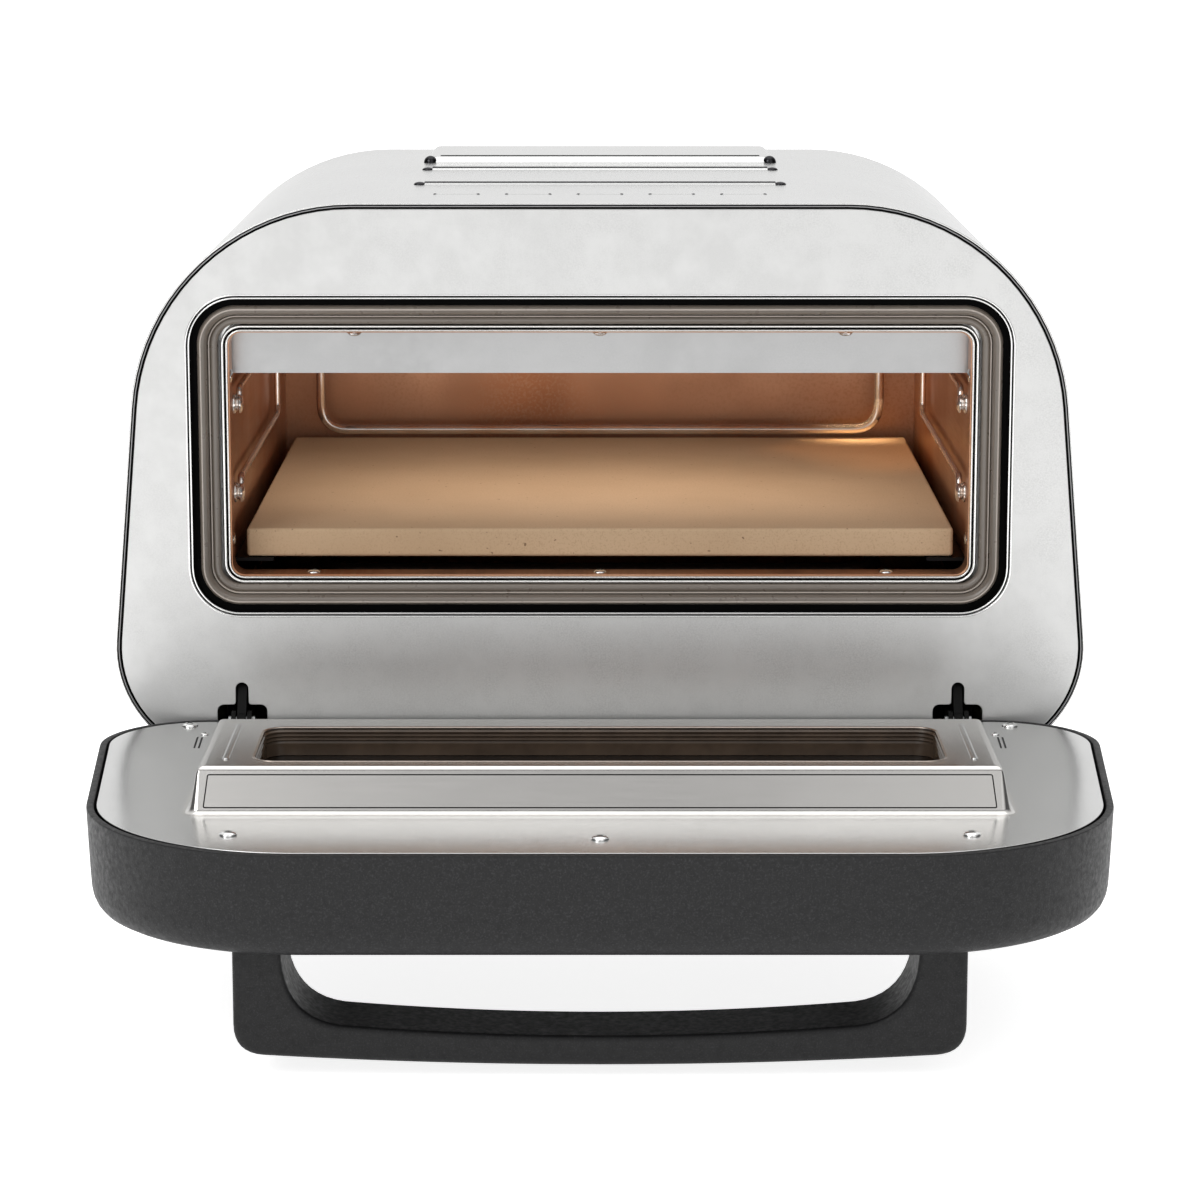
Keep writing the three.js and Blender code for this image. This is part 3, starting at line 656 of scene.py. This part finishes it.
def make_raised_panel():
    """The raised panel behind the beads: a soft step in front, round corners all round."""
    half, front, rear, height = 89.0, 229.0, 309.0, 3.1
    reach, corner = 5.0, 8.0
    loops = []
    steps = 14
    for i in range(steps + 1):
        t = i / steps
        inset = reach * t
        rise = height * (1 - math.cos(t * math.pi)) / 2 - 0.05
        outline = rounded((half, front, rear, corner), inset, steps=12)
        loops.append([on_body(x, y, CASING_TOP + rise) for x, y in outline])
    piece("casing_raised_panel", skin(loops), "oven", WRAP_STEEL)
    # A dark strip along the top of the step and dark domes at its front corners: painted shade and
    # painted dark reflections.
    shade_strip = pressed_bead(0, front + reach + 0.8, half - reach - 3, 1.4, height + 0.45)
    ends = [dome(on_body(side * (half - 3.6), front + 3.4, CASING_TOP), 3.4, 3.4)
            for side in (-1, 1)]
    piece("casing_panel_painted_shade", merge(shade_strip, *ends), "oven", PAINTED_SHADE_STEEL)


def hinge_slot(side):
    """Wide at the knuckle, narrow above it, with rounded corners."""
    def outline(inset):
        wide, narrow = 11.3 - inset, 2.9 - inset
        low, step, top = 8 + inset, 26.2 - inset, 36.5 - inset
        centre = side * HINGE_X
        right = arc(wide - 3, low + 3, 3, -math.pi / 2, 0, 4)
        right += arc(wide - 3, step - 3, 3, 0, math.pi / 2, 4)
        right += [(narrow + 1.2, step)] + arc(narrow + 1.2, step + 1.2, 1.2, math.pi * 1.5,
                                              math.pi, 4)
        right += arc(0, top - narrow, narrow, 0, math.pi / 2, 6)
        left = [(-x, z) for x, z in reversed(right[:-1])]
        return [(centre + x, z) for x, z in right + left]
    return outline


def make_rear():
    """The moulded cover behind the casing, with two vents, the cord's gland and five screws."""
    wall, rear_y = 2.2, 357
    section = [(1.2, 322.3), (1.5, 325), (3.2, 333), (6.0, 343), (9, 350), (11.5, 354.5),
               (14, 356.4), (17, rear_y)]
    outer = [[on_body(x, y, z) for x, z in casing_line(inset)] for inset, y in section]
    inner = [[on_body(x, y - wall, z) for x, z in casing_line(inset + wall)]
             for inset, y in section]
    housing = piece("rear_cover", skin(outer), "oven", MOULDED,
                    ["rear_housing"])
    cutters = [skin(inner)]
    fan_low, fan_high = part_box("cooling_fan_frame")
    fan_x = (fan_low.x + fan_high.x) / 2 / MM
    fan_z = ((fan_low.z + fan_high.z) / 2 - shell_low.z) / MM
    for i in range(-4, 5):
        cutters.append(vent(fan_x + 8 * i, fan_z - 32, fan_z + 32))
        cutters.append(vent(8 * i - 95, 150, 190))
    carve(housing, *cutters)
    make_gland()
    for i, (x, z) in enumerate(((-180, 60), (180, 60), (-150, 215), (150, 215), (0, 30))):
        screw(f"rear_screw_{i + 1}", on_body(x, rear_y - 0.1, z), (0, 1, 0), 3.6, "oven")


def make_gland():
    """The round ring that holds the cord."""
    gland_low, gland_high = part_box("cord_gland")
    centre = Vector(((gland_low.x + gland_high.x) / 2, gland_high.y,
                     (gland_low.z + gland_high.z) / 2))
    profile = [(4, -14), (8, -14), (8, -5.8), (11.4, -5.6), (12, -5.2), (12, -4), (11.4, -3.6),
               (8, -3.4), (8, -1.2), (7.2, -0.2), (5.6, 0), (4.4, -0.6), (4, -1.6)]
    sides = 40
    verts, _ = lathe(profile, centre, (0, 1, 0), sides)
    loops = [verts[i:i + sides] for i in range(0, len(verts), sides)]
    shape = skin(loops, ring=True)
    piece("gland_ring", shape, "oven", BLACK_PLASTIC, ["cord_gland"])


def vent(x, low, high):
    """A cutter for an upright slot with round ends in the rear cover."""
    outline = arc(x, high, 2, 0, math.pi, 6) + arc(x, low, 2, math.pi, 2 * math.pi, 6)
    return skin([[on_body(px, y, pz) for px, pz in outline] for y in (345, 362)])


def screw(name, seat, axis, radius, body, replaces=()):
    """A domed head with a cross recess, sitting on its seat along an axis."""
    height = radius * 0.42
    profile = [(0.01, -1.5), (radius * 0.5, -1.5), (radius * 0.5, -0.2), (radius * 0.96, -0.2),
               (radius, 0.0)]
    for i in range(1, 9):
        t = i / 8 * math.pi / 2
        profile.append((radius * math.cos(t) ** 0.9 if i < 8 else 0.01, height * math.sin(t)))
    obj = piece(name, lathe(profile, seat, axis, 28), body, BRIGHT_STEEL, replaces)
    axis = Vector(axis).normalized()
    side = axis.orthogonal().normalized()
    other = axis.cross(side)
    cutters = []
    for long_way, short_way in ((side, other), (other, side)):
        a, b = long_way * radius * 0.5 * MM, short_way * radius * 0.13 * MM
        corners = (a + b, -a + b, -a - b, a - b)
        cutters.append(skin([[seat + axis * h * MM + c for c in corners]
                             for h in (height * 0.45, height * 1.6)]))
    carve(obj, *cutters)


def make_feet():
    """Four tapered columns, each on a rubber pad."""
    for end in ("front", "rear"):
        for side in ("left", "right"):
            low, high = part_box(f"leg_{end}_{side}")
            centre = Vector(((low.x + high.x) / 2, (low.y + high.y) / 2, low.z))
            top = (high.z - low.z) / MM
            profile = [(0.01, 0), (11, 0), (11.8, 0.6), (12, 1.6), (13.2, 30), (14, top - 16),
                       (15.6, top - 14), (16, top - 12.5), (16, top), (0.01, top)]
            shape = lathe(profile, centre, (0, 0, 1), 48)
            piece(f"foot_column_{end}_{side}", shape, "oven", MOULDED,
                  [f"leg_{end}_{side}"])
            low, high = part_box(f"foot_pad_{end}_{side}")
            centre.z = low.z
            profile = [(0.01, 0), (11.4, 0), (12.6, 0.5), (13, 1.4), (13, 2.6), (12.4, 3.5),
                       (11.6, 3.7), (0.01, 3.7)]
            shape = lathe(profile, centre, (0, 0, 1), 48)
            piece(f"foot_rubber_{end}_{side}", shape, "oven", FOOT_RUBBER,
                  [f"foot_pad_{end}_{side}"])


# ---------------- mouth and chamber


def make_mouth():
    make_gasket()
    make_lip()


def make_gasket():
    """The stepped silicone seal around the mouth, the groove outside it in near black as painted
    shade, and two ridges in a lighter silicone as painted highlight lines.
    """
    # The groove's near black ring: painted shade in the gap.
    groove = [(-0.3, 1.85), (-0.3, 5), (4.6, 5), (4.6, 4.2), (1.4, 4.0), (1.4, 1.85)]
    shape = hoop(line_of(MOUTH, 16), smooth_section(groove, 0.3, 2), casing_face)
    piece("gasket_groove_painted_shade", shape, "oven", PAINTED_SHADE_BLACK)
    section = smooth_section([
        (3.9, 5.1), (3.9, 19), (13.1, 19), (13.1, 8.0), (12.7, 6.8), (11.7, 6.0), (10.4, 6.2),
        (9.7, 7.0), (8.8, 7.0), (8.5, 4.2), (7.8, 2.3), (6.2, 1.2), (4.7, 2.4)], 0.8, 6)
    shape = hoop(line_of(MOUTH, 20), section, casing_face)
    piece("mouth_gasket", shape, "oven", SILICONE, ["door_gasket"])
    # Two thin ridges in a lighter silicone: painted highlight lines on the seal.
    ridges = []
    for inset, front in ((9.3, 5.4), (5.9, 0.95)):
        ridge = smooth_section([(inset - 0.3, front), (inset - 0.3, front + 3),
                                (inset + 0.3, front + 3), (inset + 0.3, front)], 0.25)
        ridges.append(hoop(line_of(MOUTH, 20), ridge, casing_face))
    piece("mouth_gasket_highlight_ridges", merge(*ridges), "oven", SILICONE_HIGHLIGHT)


def make_lip():
    """The bright steel collar inside the gasket, its fine groove painted near black as shade, its
    lining and its screws.
    """
    section = smooth_section([
        (-0.9, 9.4), (-0.9, 20.6), (-6, 20.6), (-6, 23.5), (2.4, 23.5), (2.4, 8.9), (2.0, 8.2),
        (1.6, 8.2), (1.2, 8.8), (1.2, 10.6), (0.5, 10.6), (0.5, 8.6), (0.1, 7.9), (-0.5, 7.9)],
        0.3, 4)
    shape = hoop(line_of(LIP, 16), section, casing_face)
    piece("mouth_lip", shape, "oven", LIP_STEEL, ["cavity_collar"])
    # The fine groove's near black ring: painted shade.
    line = [(0.45, 9.0), (0.45, 10.7), (1.25, 10.7), (1.25, 9.0)]
    shape = hoop(line_of(LIP, 16), smooth_section(line, 0.1), casing_face)
    piece("mouth_lip_groove_painted_shade", shape, "oven", PAINTED_SHADE_BLACK)
    lining = [(2.35, 10.2), (2.35, 23.2), (2.8, 23.2), (2.8, 10.2)]
    shape = hoop(line_of(LIP, 16), smooth_section(lining, 0.15), casing_face)
    piece("mouth_lip_lining", shape, "oven", HEAT_TINT_AND_GLOW)

    half, low, high, _ = LIP
    radius = 3.3
    for i, x in enumerate((-110.7, 0, 110.7)):
        screw(f"lip_screw_top_{i + 1}", on_body(x, 14, high - 3.4), (0, 0, -1), radius, "oven")
    for i, x in enumerate((-130.7, 0, 130.7)):
        screw(f"lip_screw_foot_{i + 1}", on_body(x, 17, low + 2.6), (0, 0, 1), radius, "oven")
    for word, side in (("left", -1), ("right", 1)):
        for i, z in enumerate((100, 175)):
            seat = on_body(side * (half - 2.4), 17, z)
            screw(f"lip_screw_{word}_{i + 1}", seat, (-side, 0, 0), radius, "oven")


def node_finish(node, material, bevel=None):
    """Keeps a CAD node and gives it a finish."""
    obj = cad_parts[node]
    obj.data.materials.clear()
    obj.data.materials.append(material)
    if bevel:
        soften(obj, bevel)


def make_chamber():
    """The chamber keeps its CAD walls and gets a new baffle edge, stone and rods."""
    for node in ("cavity_floor", "cavity_ceiling", "cavity_back_wall", "cavity_left_wall",
                 "cavity_right_wall"):
        node_finish(node, HEAT_TINT_AND_GLOW)
    # The supports are made near black as painted shade under the stone.
    for node in ("stone_support_left", "stone_support_right"):
        node_finish(node, BLACKENED_FOR_SHADE)
    node_finish("front_baffle", BAFFLE_STEEL, 0.2)
    make_baffle_hem()
    make_stone()
    make_rods()


def make_baffle_hem():
    """The baffle's foot is rolled to a thin bright edge."""
    low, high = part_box("front_baffle")
    radius = 0.4
    ends = [Vector((x, low.y + radius * MM, low.z + radius * MM))
            for x in (low.x + MM, high.x - MM)]
    piece("baffle_hem", tube(ends, radius, 12), "oven", LIP_STEEL)


def make_stone():
    """A square slab with softly rounded edges."""
    low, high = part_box("pizza_stone")
    half = high.x / MM
    length, thick = (high.y - low.y) / MM, (high.z - low.z) / MM
    edge, steps = 1.4, 5
    levels = []
    for i in range(steps + 1):
        t = i / steps * math.pi / 2
        levels.append((edge * (1 - math.sin(t)), edge * (1 - math.cos(t))))
    levels += [(inset, thick - height) for inset, height in reversed(levels)]
    rings = []
    for inset, height in levels:
        outline = rounded((half, 0, length, 2), inset, steps=6)
        rings.append([Vector((x * MM, low.y + y * MM, low.z + height * MM)) for x, y in outline])
    piece("baking_stone", skin(rings), "oven", STONE, ["pizza_stone"])


# A round stud with a groove for the rod: radius and distance from the wall.
STUD = ((0.01, 0), (4.0, 0), (4.6, 0.3), (4.7, 0.8), (4.4, 1.4), (3.6, 1.8), (3.4, 2.1),
        (3.6, 2.4), (4.2, 2.7), (4.5, 3.3), (4.2, 4.0), (3.2, 4.6), (1.6, 4.9), (0.01, 5.0))


def make_rods():
    """The stop rod behind the stone, the wall guards and the heating elements."""
    half, low, high = 147.5, 108, 216
    corners = [on_body(x, 305, z) for x, z in
               ((-half, high), (-half, low), (half, low), (half, high))]
    shape = tube(bent(corners, 14 * MM), 2.6, 24)
    piece("stop_rod", shape, "oven", ROD, ["rear_stop_rod"])
    for word, side in (("left", -1), ("right", 1)):
        make_wall_guard(word, side)
    for name, half, front, rear, z in (("upper", 140, 62, 282, 197), ("lower", 130, 70, 290, 76)):
        side = [(25, 340), (25, rear), (half, rear), (half, front)]
        path = [(-x, y) for x, y in side] + list(reversed(side))
        corners = [on_body(x, y, z) for x, y in path]
        shape = tube(bent(corners, 18 * MM), 3.2, 16)
        piece(f"{name}_element_tube", shape, "oven", SHEATH,
              [f"{name}_heating_element"])
    node_finish("temperature_probe", ROD, 0.3)


def make_wall_guard(word, side):
    """A rod along the wall and back, held by two studs near the mouth."""
    wall_x, rod_x = 167.7, 164.6
    front, rear, low, high = 29, 232, 127, 168
    drop = 7.3
    path = [(front, low - drop), (front, low), (rear, low), (rear, high), (front, high),
            (front, high - drop)]
    parts = [tube(bent([on_body(side * rod_x, y, z) for y, z in path], 6 * MM), 1.5, 14)]
    for z in (low - drop, high - drop):
        parts.append(lathe(STUD, on_body(side * wall_x, front, z), (-side, 0, 0), 32))
    piece(f"wall_guard_{word}", merge(*parts), "oven", ROD, [f"side_guard_{word}"])


def make_hidden():
    """Nodes behind the panels, kept as they are."""
    for node in ("base_pan", "hinge_pin_left", "hinge_pin_right"):
        node_finish(node, ZINC, 0.25)
    # The hinge brackets and arms are made near black as painted shade in the hinge slots.
    for node in ("hinge_bracket_left", "hinge_bracket_right", "hinge_arm_left",
                 "hinge_arm_right"):
        node_finish(node, BLACKENED_FOR_SHADE, 0.25)
    for node in ("insulation_wrap", "insulation_back"):
        node_finish(node, WOOL)
    for node in ("power_board", "control_board"):
        node_finish(node, BOARD, 0.3)
    for node in ("thermal_cutout", "cooling_fan_frame", "cooling_fan_rotor"):
        node_finish(node, BLACK_PLASTIC, 0.3)


# ---------------- door


def door_face(x, out, down):
    """A place on the door's steel side: down goes into the door from its rim."""
    return on_door(x, out, -down)


def notch(side):
    """Room for the knuckle in the door's hinge edge."""
    return box_cutter(on_door, (side * HINGE_X - 7, side * HINGE_X + 7), (-2, 8.1), (-7.0, 3))


def make_door_frame():
    """The dark shell of the door, a ring that is open in the middle."""
    section = [(3.5, 0.9), (3.2, 0.25), (2.6, 0), (0.9, 0), (0.4, 0.2), (0.2, 0.7), (0.75, 14),
               (1.4, 28), (1.7, 33), (2.3, 36.4), (3.5, 39.2), (5.2, 41.3), (7.6, 42.6),
               (10.5, DOOR_DEPTH), (20, DOOR_DEPTH), (41.4, DOOR_DEPTH), (42, 42.4), (42, 40.5),
               (14, 40.5), (5.6, 37), (3.5, 28)]
    shape = hoop(door_line, section, door_face)
    shell = piece("door_shell", shape, "door", POWDER, ["door_frame"])
    carve(shell, notch(-1), notch(1))


def make_door_plate():
    """The door's steel side: a flat sheet around a raised pan with a window, and its screws."""
    shape = slab(lambda inset: door_line(4.5 + inset),
                 [lambda inset: rounded(PAN, inset + 0.5, steps=12)], 1.1, 0.3, door_face)
    sheet = piece("door_sheet", shape, "door", PLATE_STEEL,
                  ["door_inner_plate"])
    carve(sheet, notch(-1), notch(1))
    make_pan()
    make_ramp_shade_lines()
    make_window_liner()
    for word, side in (("left", -1), ("right", 1)):
        make_pan_bead(word, side)
        make_clip(word, side)
    for i, (x, out) in enumerate(BOLT_PLACES):
        screw(f"door_screw_{i + 1}", on_door(x, out, 0.1), (0, 0, 1), 3.7, "door",
              [f"plate_screw_{i + 1}"])


def make_pan():
    """The pan rises in a flared foot, a flat ramp and a round shoulder."""
    sheet = 1.2
    profile = [(-0.8, -0.8, -1.0), (-0.8, -0.8, 0.02), (0.4, 0.4, 0.1), (1.2, 1.2, 0.4),
               (1.9, 1.9, 0.9), (2.5, 2.5, 1.5), (2.9, 2.9, 2.2), (5.0, 10.3, 15.0),
               (5.4, 10.8, 16.0), (6.0, 11.5, 16.9), (6.9, 12.4, 17.6), (8.0, 13.4, 17.95),
               (9.0, 14.4, PAN_HEIGHT)]
    loops = [[on_door(x, out, rise) for x, out in rounded(PAN, inset, inset_z, 12)]
             for inset, inset_z, rise in profile]
    inner = [[on_door(x, out, rise - sheet)
              for x, out in rounded(PAN, inset + sheet, inset_z + sheet, 12)]
             for inset, inset_z, rise in profile[1:]]
    pan = piece("door_pan", skin(loops), "door", PAN_STEEL)
    hollow = skin([[point - Vector((0, 0, 3 * MM)) for point in inner[0]]] + inner)
    view = skin([[on_door(x, out, up) for x, out in rounded(WINDOW, steps=8)]
                 for up in (8, 24)])
    carve(pan, hollow, view)


def make_pan_bead(word, side):
    """A low rounded bead beside the window."""
    bead_x, low, high, radius = side * 155.5, 90, 152.5, 1.6
    middle = (low + high) / 2 - 0.05
    outline = arc(bead_x, high, radius, 0, math.pi, 8)
    outline += arc(bead_x, low, radius, math.pi, 2 * math.pi, 8)
    rings = []
    for scale, rise in ((1.0, -0.05), (0.92, 0.25), (0.7, 0.5), (0.35, 0.65)):
        along = 0.985 + 0.015 * scale
        rings.append([on_door(bead_x + (x - bead_x) * scale, middle + (z - middle) * along,
                              PAN_HEIGHT + rise) for x, z in outline])
    piece(f"pan_bead_{word}", skin(rings), "door", PLATE_STEEL)


def make_ramp_shade_lines():
    """A fine dark line around the flat ramp at each long side of the pan: painted shade in its
    crease.
    """
    low, high = Vector((2.9, 2.2)), Vector((10.3, 15.0))
    along = (high - low).normalized()
    across = Vector((-along.y, along.x))
    length = (high - low).length
    line = [(0, -0.06), (0, 0.3), (0.5, 0.3), (0.5, -0.06)]
    for word, edge, turn in (("near", PAN[2], -1), ("far", PAN[1], 1)):
        def place(x, v, d):
            spot = low + along * v - across * d
            return on_door(x * (1 - 0.0006 * v), edge + turn * spot.x, spot.y)
        shape = hoop(line_of((163.2, 0.2, length, 0.9), 4), line, place)
        piece(f"ramp_painted_shade_{word}", shape, "door", PAINTED_SHADE_BLACK)


def make_window_liner():
    """The deep dark frame between the pan's window and the glass, with three ridges."""
    glass_top = (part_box("inner_glass")[1].z - door_high.z) / MM
    ridges = [(0.0, PAN_HEIGHT - 1.0), (-0.9, PAN_HEIGHT - 1.0), (-0.9, glass_top + 0.1),
              (0.6, glass_top + 0.1), (0.6, PAN_HEIGHT - 7)]
    for i in range(3):
        up = PAN_HEIGHT - 6 + i * 1.7
        ridges += [(0.3, up), (0.9, up + 0.4), (0.9, up + 0.9), (0.3, up + 1.2)]
    shape = hoop(line_of(WINDOW, 8), smooth_section(ridges, 0.15, 2), on_door)
    piece("window_liner", shape, "door", BROWN_ENAMEL)
    rim = smooth_section([(-0.9, PAN_HEIGHT - 0.6), (-0.9, PAN_HEIGHT + 0.25),
                          (0.25, PAN_HEIGHT + 0.05), (0.25, PAN_HEIGHT - 1.2)], 0.3)
    piece("window_rim", hoop(line_of(WINDOW, 8), rim, on_door), "door", COPPERED)


def make_clip(word, side):
    """The small pressed clip beside the pan: two fine slits, drawn as near black bars that paint
    their shade, and a rivet.
    """
    parts = []
    for x in (177.0, 179.0):
        outline = arc(side * x, 56, 0.4, 0, math.pi, 6)
        outline += arc(side * (x + 0.6), 36, 0.4, math.pi, 2 * math.pi, 6)
        parts.append(skin([[on_door(px, py, up) for px, py in outline] for up in (-0.5, 0.12)]))
    piece(f"pan_clip_{word}", merge(*parts), "door", BLACKENED_FOR_SHADE)
    screw(f"pan_clip_rivet_{word}", on_door(side * 177.0, 30, 0.05), (0, 0, 1), 2.0, "door")


def make_door_glass():
    """The panes, the tunnel between them, the outer panel and its touch glass."""
    for node, material in (("inner_glass", INNER_PANE), ("outer_glass", OUTER_PANE)):
        node_finish(node, material, 0.4)
    node_finish("window_tunnel", BROWN_ENAMEL)
    view, control = (138, 92, 158, 8), (105, 48, 80, 3)

    def outer_face(x, out, up):
        return on_door(x, out, -DOOR_DEPTH + 0.2 + up)

    shape = slab(lambda inset: domed(DOOR, 42.3 + inset), [line_of(view), line_of(control)],
                 1.5, 0.35, outer_face)
    piece("door_outer_panel", shape, "door", GLOSS, ["outer_panel"])
    shape = slab(lambda inset: rounded(control, inset + 0.3), [], 1.5, 0.35, outer_face)
    piece("touch_glass", shape, "door", GLOSS, ["control_glass"])


def make_handle():
    """A bowed bar on two arms, moulded in one piece with soft edges."""
    half, arm, root = 147.5, 19.5, 0.3
    reach, bow = 48.6, 4.4
    end = reach - bow

    def curve(a, b, c, steps):
        """Points after a on the way to c, on a curve pulled towards b."""
        a, b, c = Vector(a), Vector(b), Vector(c)
        return [a * (1 - t) ** 2 + b * 2 * t * (1 - t) + c * t * t
                for t in (i / steps for i in range(1, steps + 1))]

    def outline(inset):
        outer_half, inner_half = half - inset, half - arm + inset
        outer_end, inner_end = end - inset, end - 12.5 + inset
        middle, inner_middle = reach - inset, reach - 12.3 + inset
        start = [Vector((-outer_half, root)), Vector((-outer_half, outer_end - 12))]
        points = start + curve(start[-1], (-outer_half, outer_end),
                               (-outer_half + 12, outer_end + 0.8), 8)
        points += curve(points[-1], (0, 2 * middle - outer_end),
                        (outer_half - 12, outer_end + 0.8), 24)
        points += curve(points[-1], (outer_half, outer_end), (outer_half, outer_end - 12), 8)
        points += [Vector((outer_half, root)), Vector((inner_half, root))]
        points += curve(points[-1], (inner_half, inner_end), (inner_half - 28, inner_end + 1), 12)
        points += curve(points[-1], (0, 2 * inner_middle - inner_end),
                        (-inner_half + 28, inner_end + 1), 24)
        points += curve(points[-1], (-inner_half, inner_end), (-inner_half, root), 12)
        return [tuple(p) for p in points]

    low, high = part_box("door_handle")

    def grip(x, down, back):
        return Vector((x * MM, low.y + back * MM, door_low.z - down * MM))

    shape = slab(outline, [], (high.y - low.y) / MM, 2.2, grip, 5)
    piece("handle_grip", shape, "door", MOULDED, ["door_handle"])
    for word in ("left", "right"):
        node_finish(f"handle_bolt_{word}", ZINC, 0.3)


# ---------------- light and camera


def area_light(name, place, target, size, power, colour=(1, 1, 1)):
    """A soft rectangular lamp, aimed at its target."""
    data = bpy.data.lights.new(name, "AREA")
    data.shape = "RECTANGLE"
    data.size, data.size_y = size
    data.energy = power
    data.color = colour
    lamp = new_object(name, data)
    lamp.location = place
    lamp.rotation_euler = (Vector(target) - Vector(place)).to_track_quat("-Z", "Y").to_euler()
    return lamp


class Shade:
    """Small sums on node outputs, for the studio's light."""

    def __init__(self, tree):
        self.tree = tree

    def math(self, operation, *values):
        node = self.tree.nodes.new("ShaderNodeMath")
        node.operation = operation
        for socket, value in zip(node.inputs, values):
            if isinstance(value, (int, float)):
                socket.default_value = value
            else:
                self.tree.links.new(value, socket)
        return node.outputs[0]

    def ramp(self, value, low, high, start, end):
        """Goes smoothly from start to end as the value goes from low to high."""
        node = self.tree.nodes.new("ShaderNodeMapRange")
        node.interpolation_type = "SMOOTHSTEP"
        self.tree.links.new(value, node.inputs["Value"])
        for socket, number in zip(("From Min", "From Max", "To Min", "To Max"),
                                  (low, high, start, end)):
            node.inputs[socket].default_value = number
        return node.outputs["Result"]

    def axes(self):
        """The three coordinates: the direction in a world, the place on the floor."""
        place = self.tree.nodes.new("ShaderNodeTexCoord")
        split = self.tree.nodes.new("ShaderNodeSeparateXYZ")
        source = "Generated" if self.tree.nodes.get("Background") else "Object"
        self.tree.links.new(place.outputs[source], split.inputs[0])
        return split.outputs


def make_sky():
    """A white studio with dark sides and a gap between the front lamp and the ceiling."""
    strength = 0.95
    world = bpy.data.worlds.new("studio")
    world.use_nodes = True
    tree = world.node_tree
    shade = Shade(tree)
    x, y, z = shade.axes()
    sides = shade.ramp(shade.math("ABSOLUTE", x), 0.45, 0.9, 1.0, 0.12)
    angle = shade.math("ARCTAN2", z, shade.math("MULTIPLY", y, -1.0))
    from_gap = shade.math("ABSOLUTE", shade.math("SUBTRACT", angle, math.radians(66)))
    gap = shade.ramp(from_gap, math.radians(3), math.radians(7), 0.1, 1.0)
    middle = shade.ramp(shade.math("ABSOLUTE", x), 0.02, 0.14, 0.5, 1.0)
    low_front = shade.ramp(angle, math.radians(54), math.radians(62), 1.0, 0.0)
    notch = shade.math("MAXIMUM", middle, shade.math("SUBTRACT", 1.0, low_front))
    value = shade.math("MULTIPLY", shade.math("MULTIPLY", sides, gap), notch)
    sky = tree.nodes["Background"].inputs
    tree.links.new(shade.math("MULTIPLY", value, strength), sky["Strength"])
    sky["Color"].default_value = (1, 1, 1, 1)
    bpy.context.scene.world = world


def make_floor():
    """White paper that glows a little, and fades out to the sides."""
    reach = 40.0
    mesh = bpy.data.meshes.new("studio_floor")
    mesh.from_pydata([(-reach, -reach, 0), (reach, -reach, 0), (reach, reach, 0),
                      (-reach, reach, 0)], [], [(0, 1, 2, 3)])
    floor = new_object("studio_floor", mesh)
    paper = Finish("paper floor", rgb(235, 235, 235), 0.9)
    shade = Shade(paper.material.node_tree)
    x, y, _ = shade.axes()
    widen = shade.math("ADD", shade.math("MULTIPLY", shade.math("ABSOLUTE", y), 0.16), 1.0)
    across = shade.math("DIVIDE", shade.math("ABSOLUTE", x), widen)
    glow = shade.ramp(across, 0.7, 1.6, 0.82, 0.1)
    paper.links.new(glow, paper.shader.inputs["Emission Strength"])
    paper.shader.inputs["Emission Color"].default_value = (1, 1, 1, 1)
    mesh.materials.append(paper.material)


def make_studio():
    """Soft light from above, and small warm lamps in the chamber in place of its glow."""
    bpy.context.scene.view_settings.view_transform = "Standard"
    make_sky()
    make_floor()
    area_light("key", (-1.4, -1.5, 1.7), (0, 0, 0.15), (1.2, 1.2), 16)
    area_light("top", (0, 0.1, 2.4), (0, 0, 0.2), (2.2, 2.2), 16)
    for name, place, target, size, power, colour, spread in (
            ("chamber_light", (0, 150, 200), (0, 190, 100), (0.3, 0.16), 0.3, (1, 0.9, 0.8),
             180),
            ("right_glow", (100, 225, 165), (168, 262, 142), (0.1, 0.1), 0.035,
             (1, 0.5, 0.2), 60),
            ("rear_glow", (136, 300, 124), (136, 302, 103), (0.03, 0.006), 0.006,
             (1, 0.72, 0.42), 110)):
        lamp = area_light(name, on_body(*place), on_body(*target), size, power, colour)
        lamp.data.spread = math.radians(spread)
        lamp.visible_glossy = False


def make_camera():
    """In front of the door and above it, looking 11 degrees down."""
    data = bpy.data.cameras.new("camera")
    data.lens = 114.0
    data.sensor_width = 36.0
    camera = new_object("camera", data)
    camera.location = on_body(0, -1690.3, 403.5)
    camera.rotation_euler = (math.radians(90 - 11), 0, 0)
    bpy.context.scene.camera = camera


make_camera()
make_studio()
make_casing()
make_rear()
make_feet()
make_mouth()
make_chamber()
make_hidden()
make_door_frame()
make_door_plate()
make_door_glass()
make_handle()
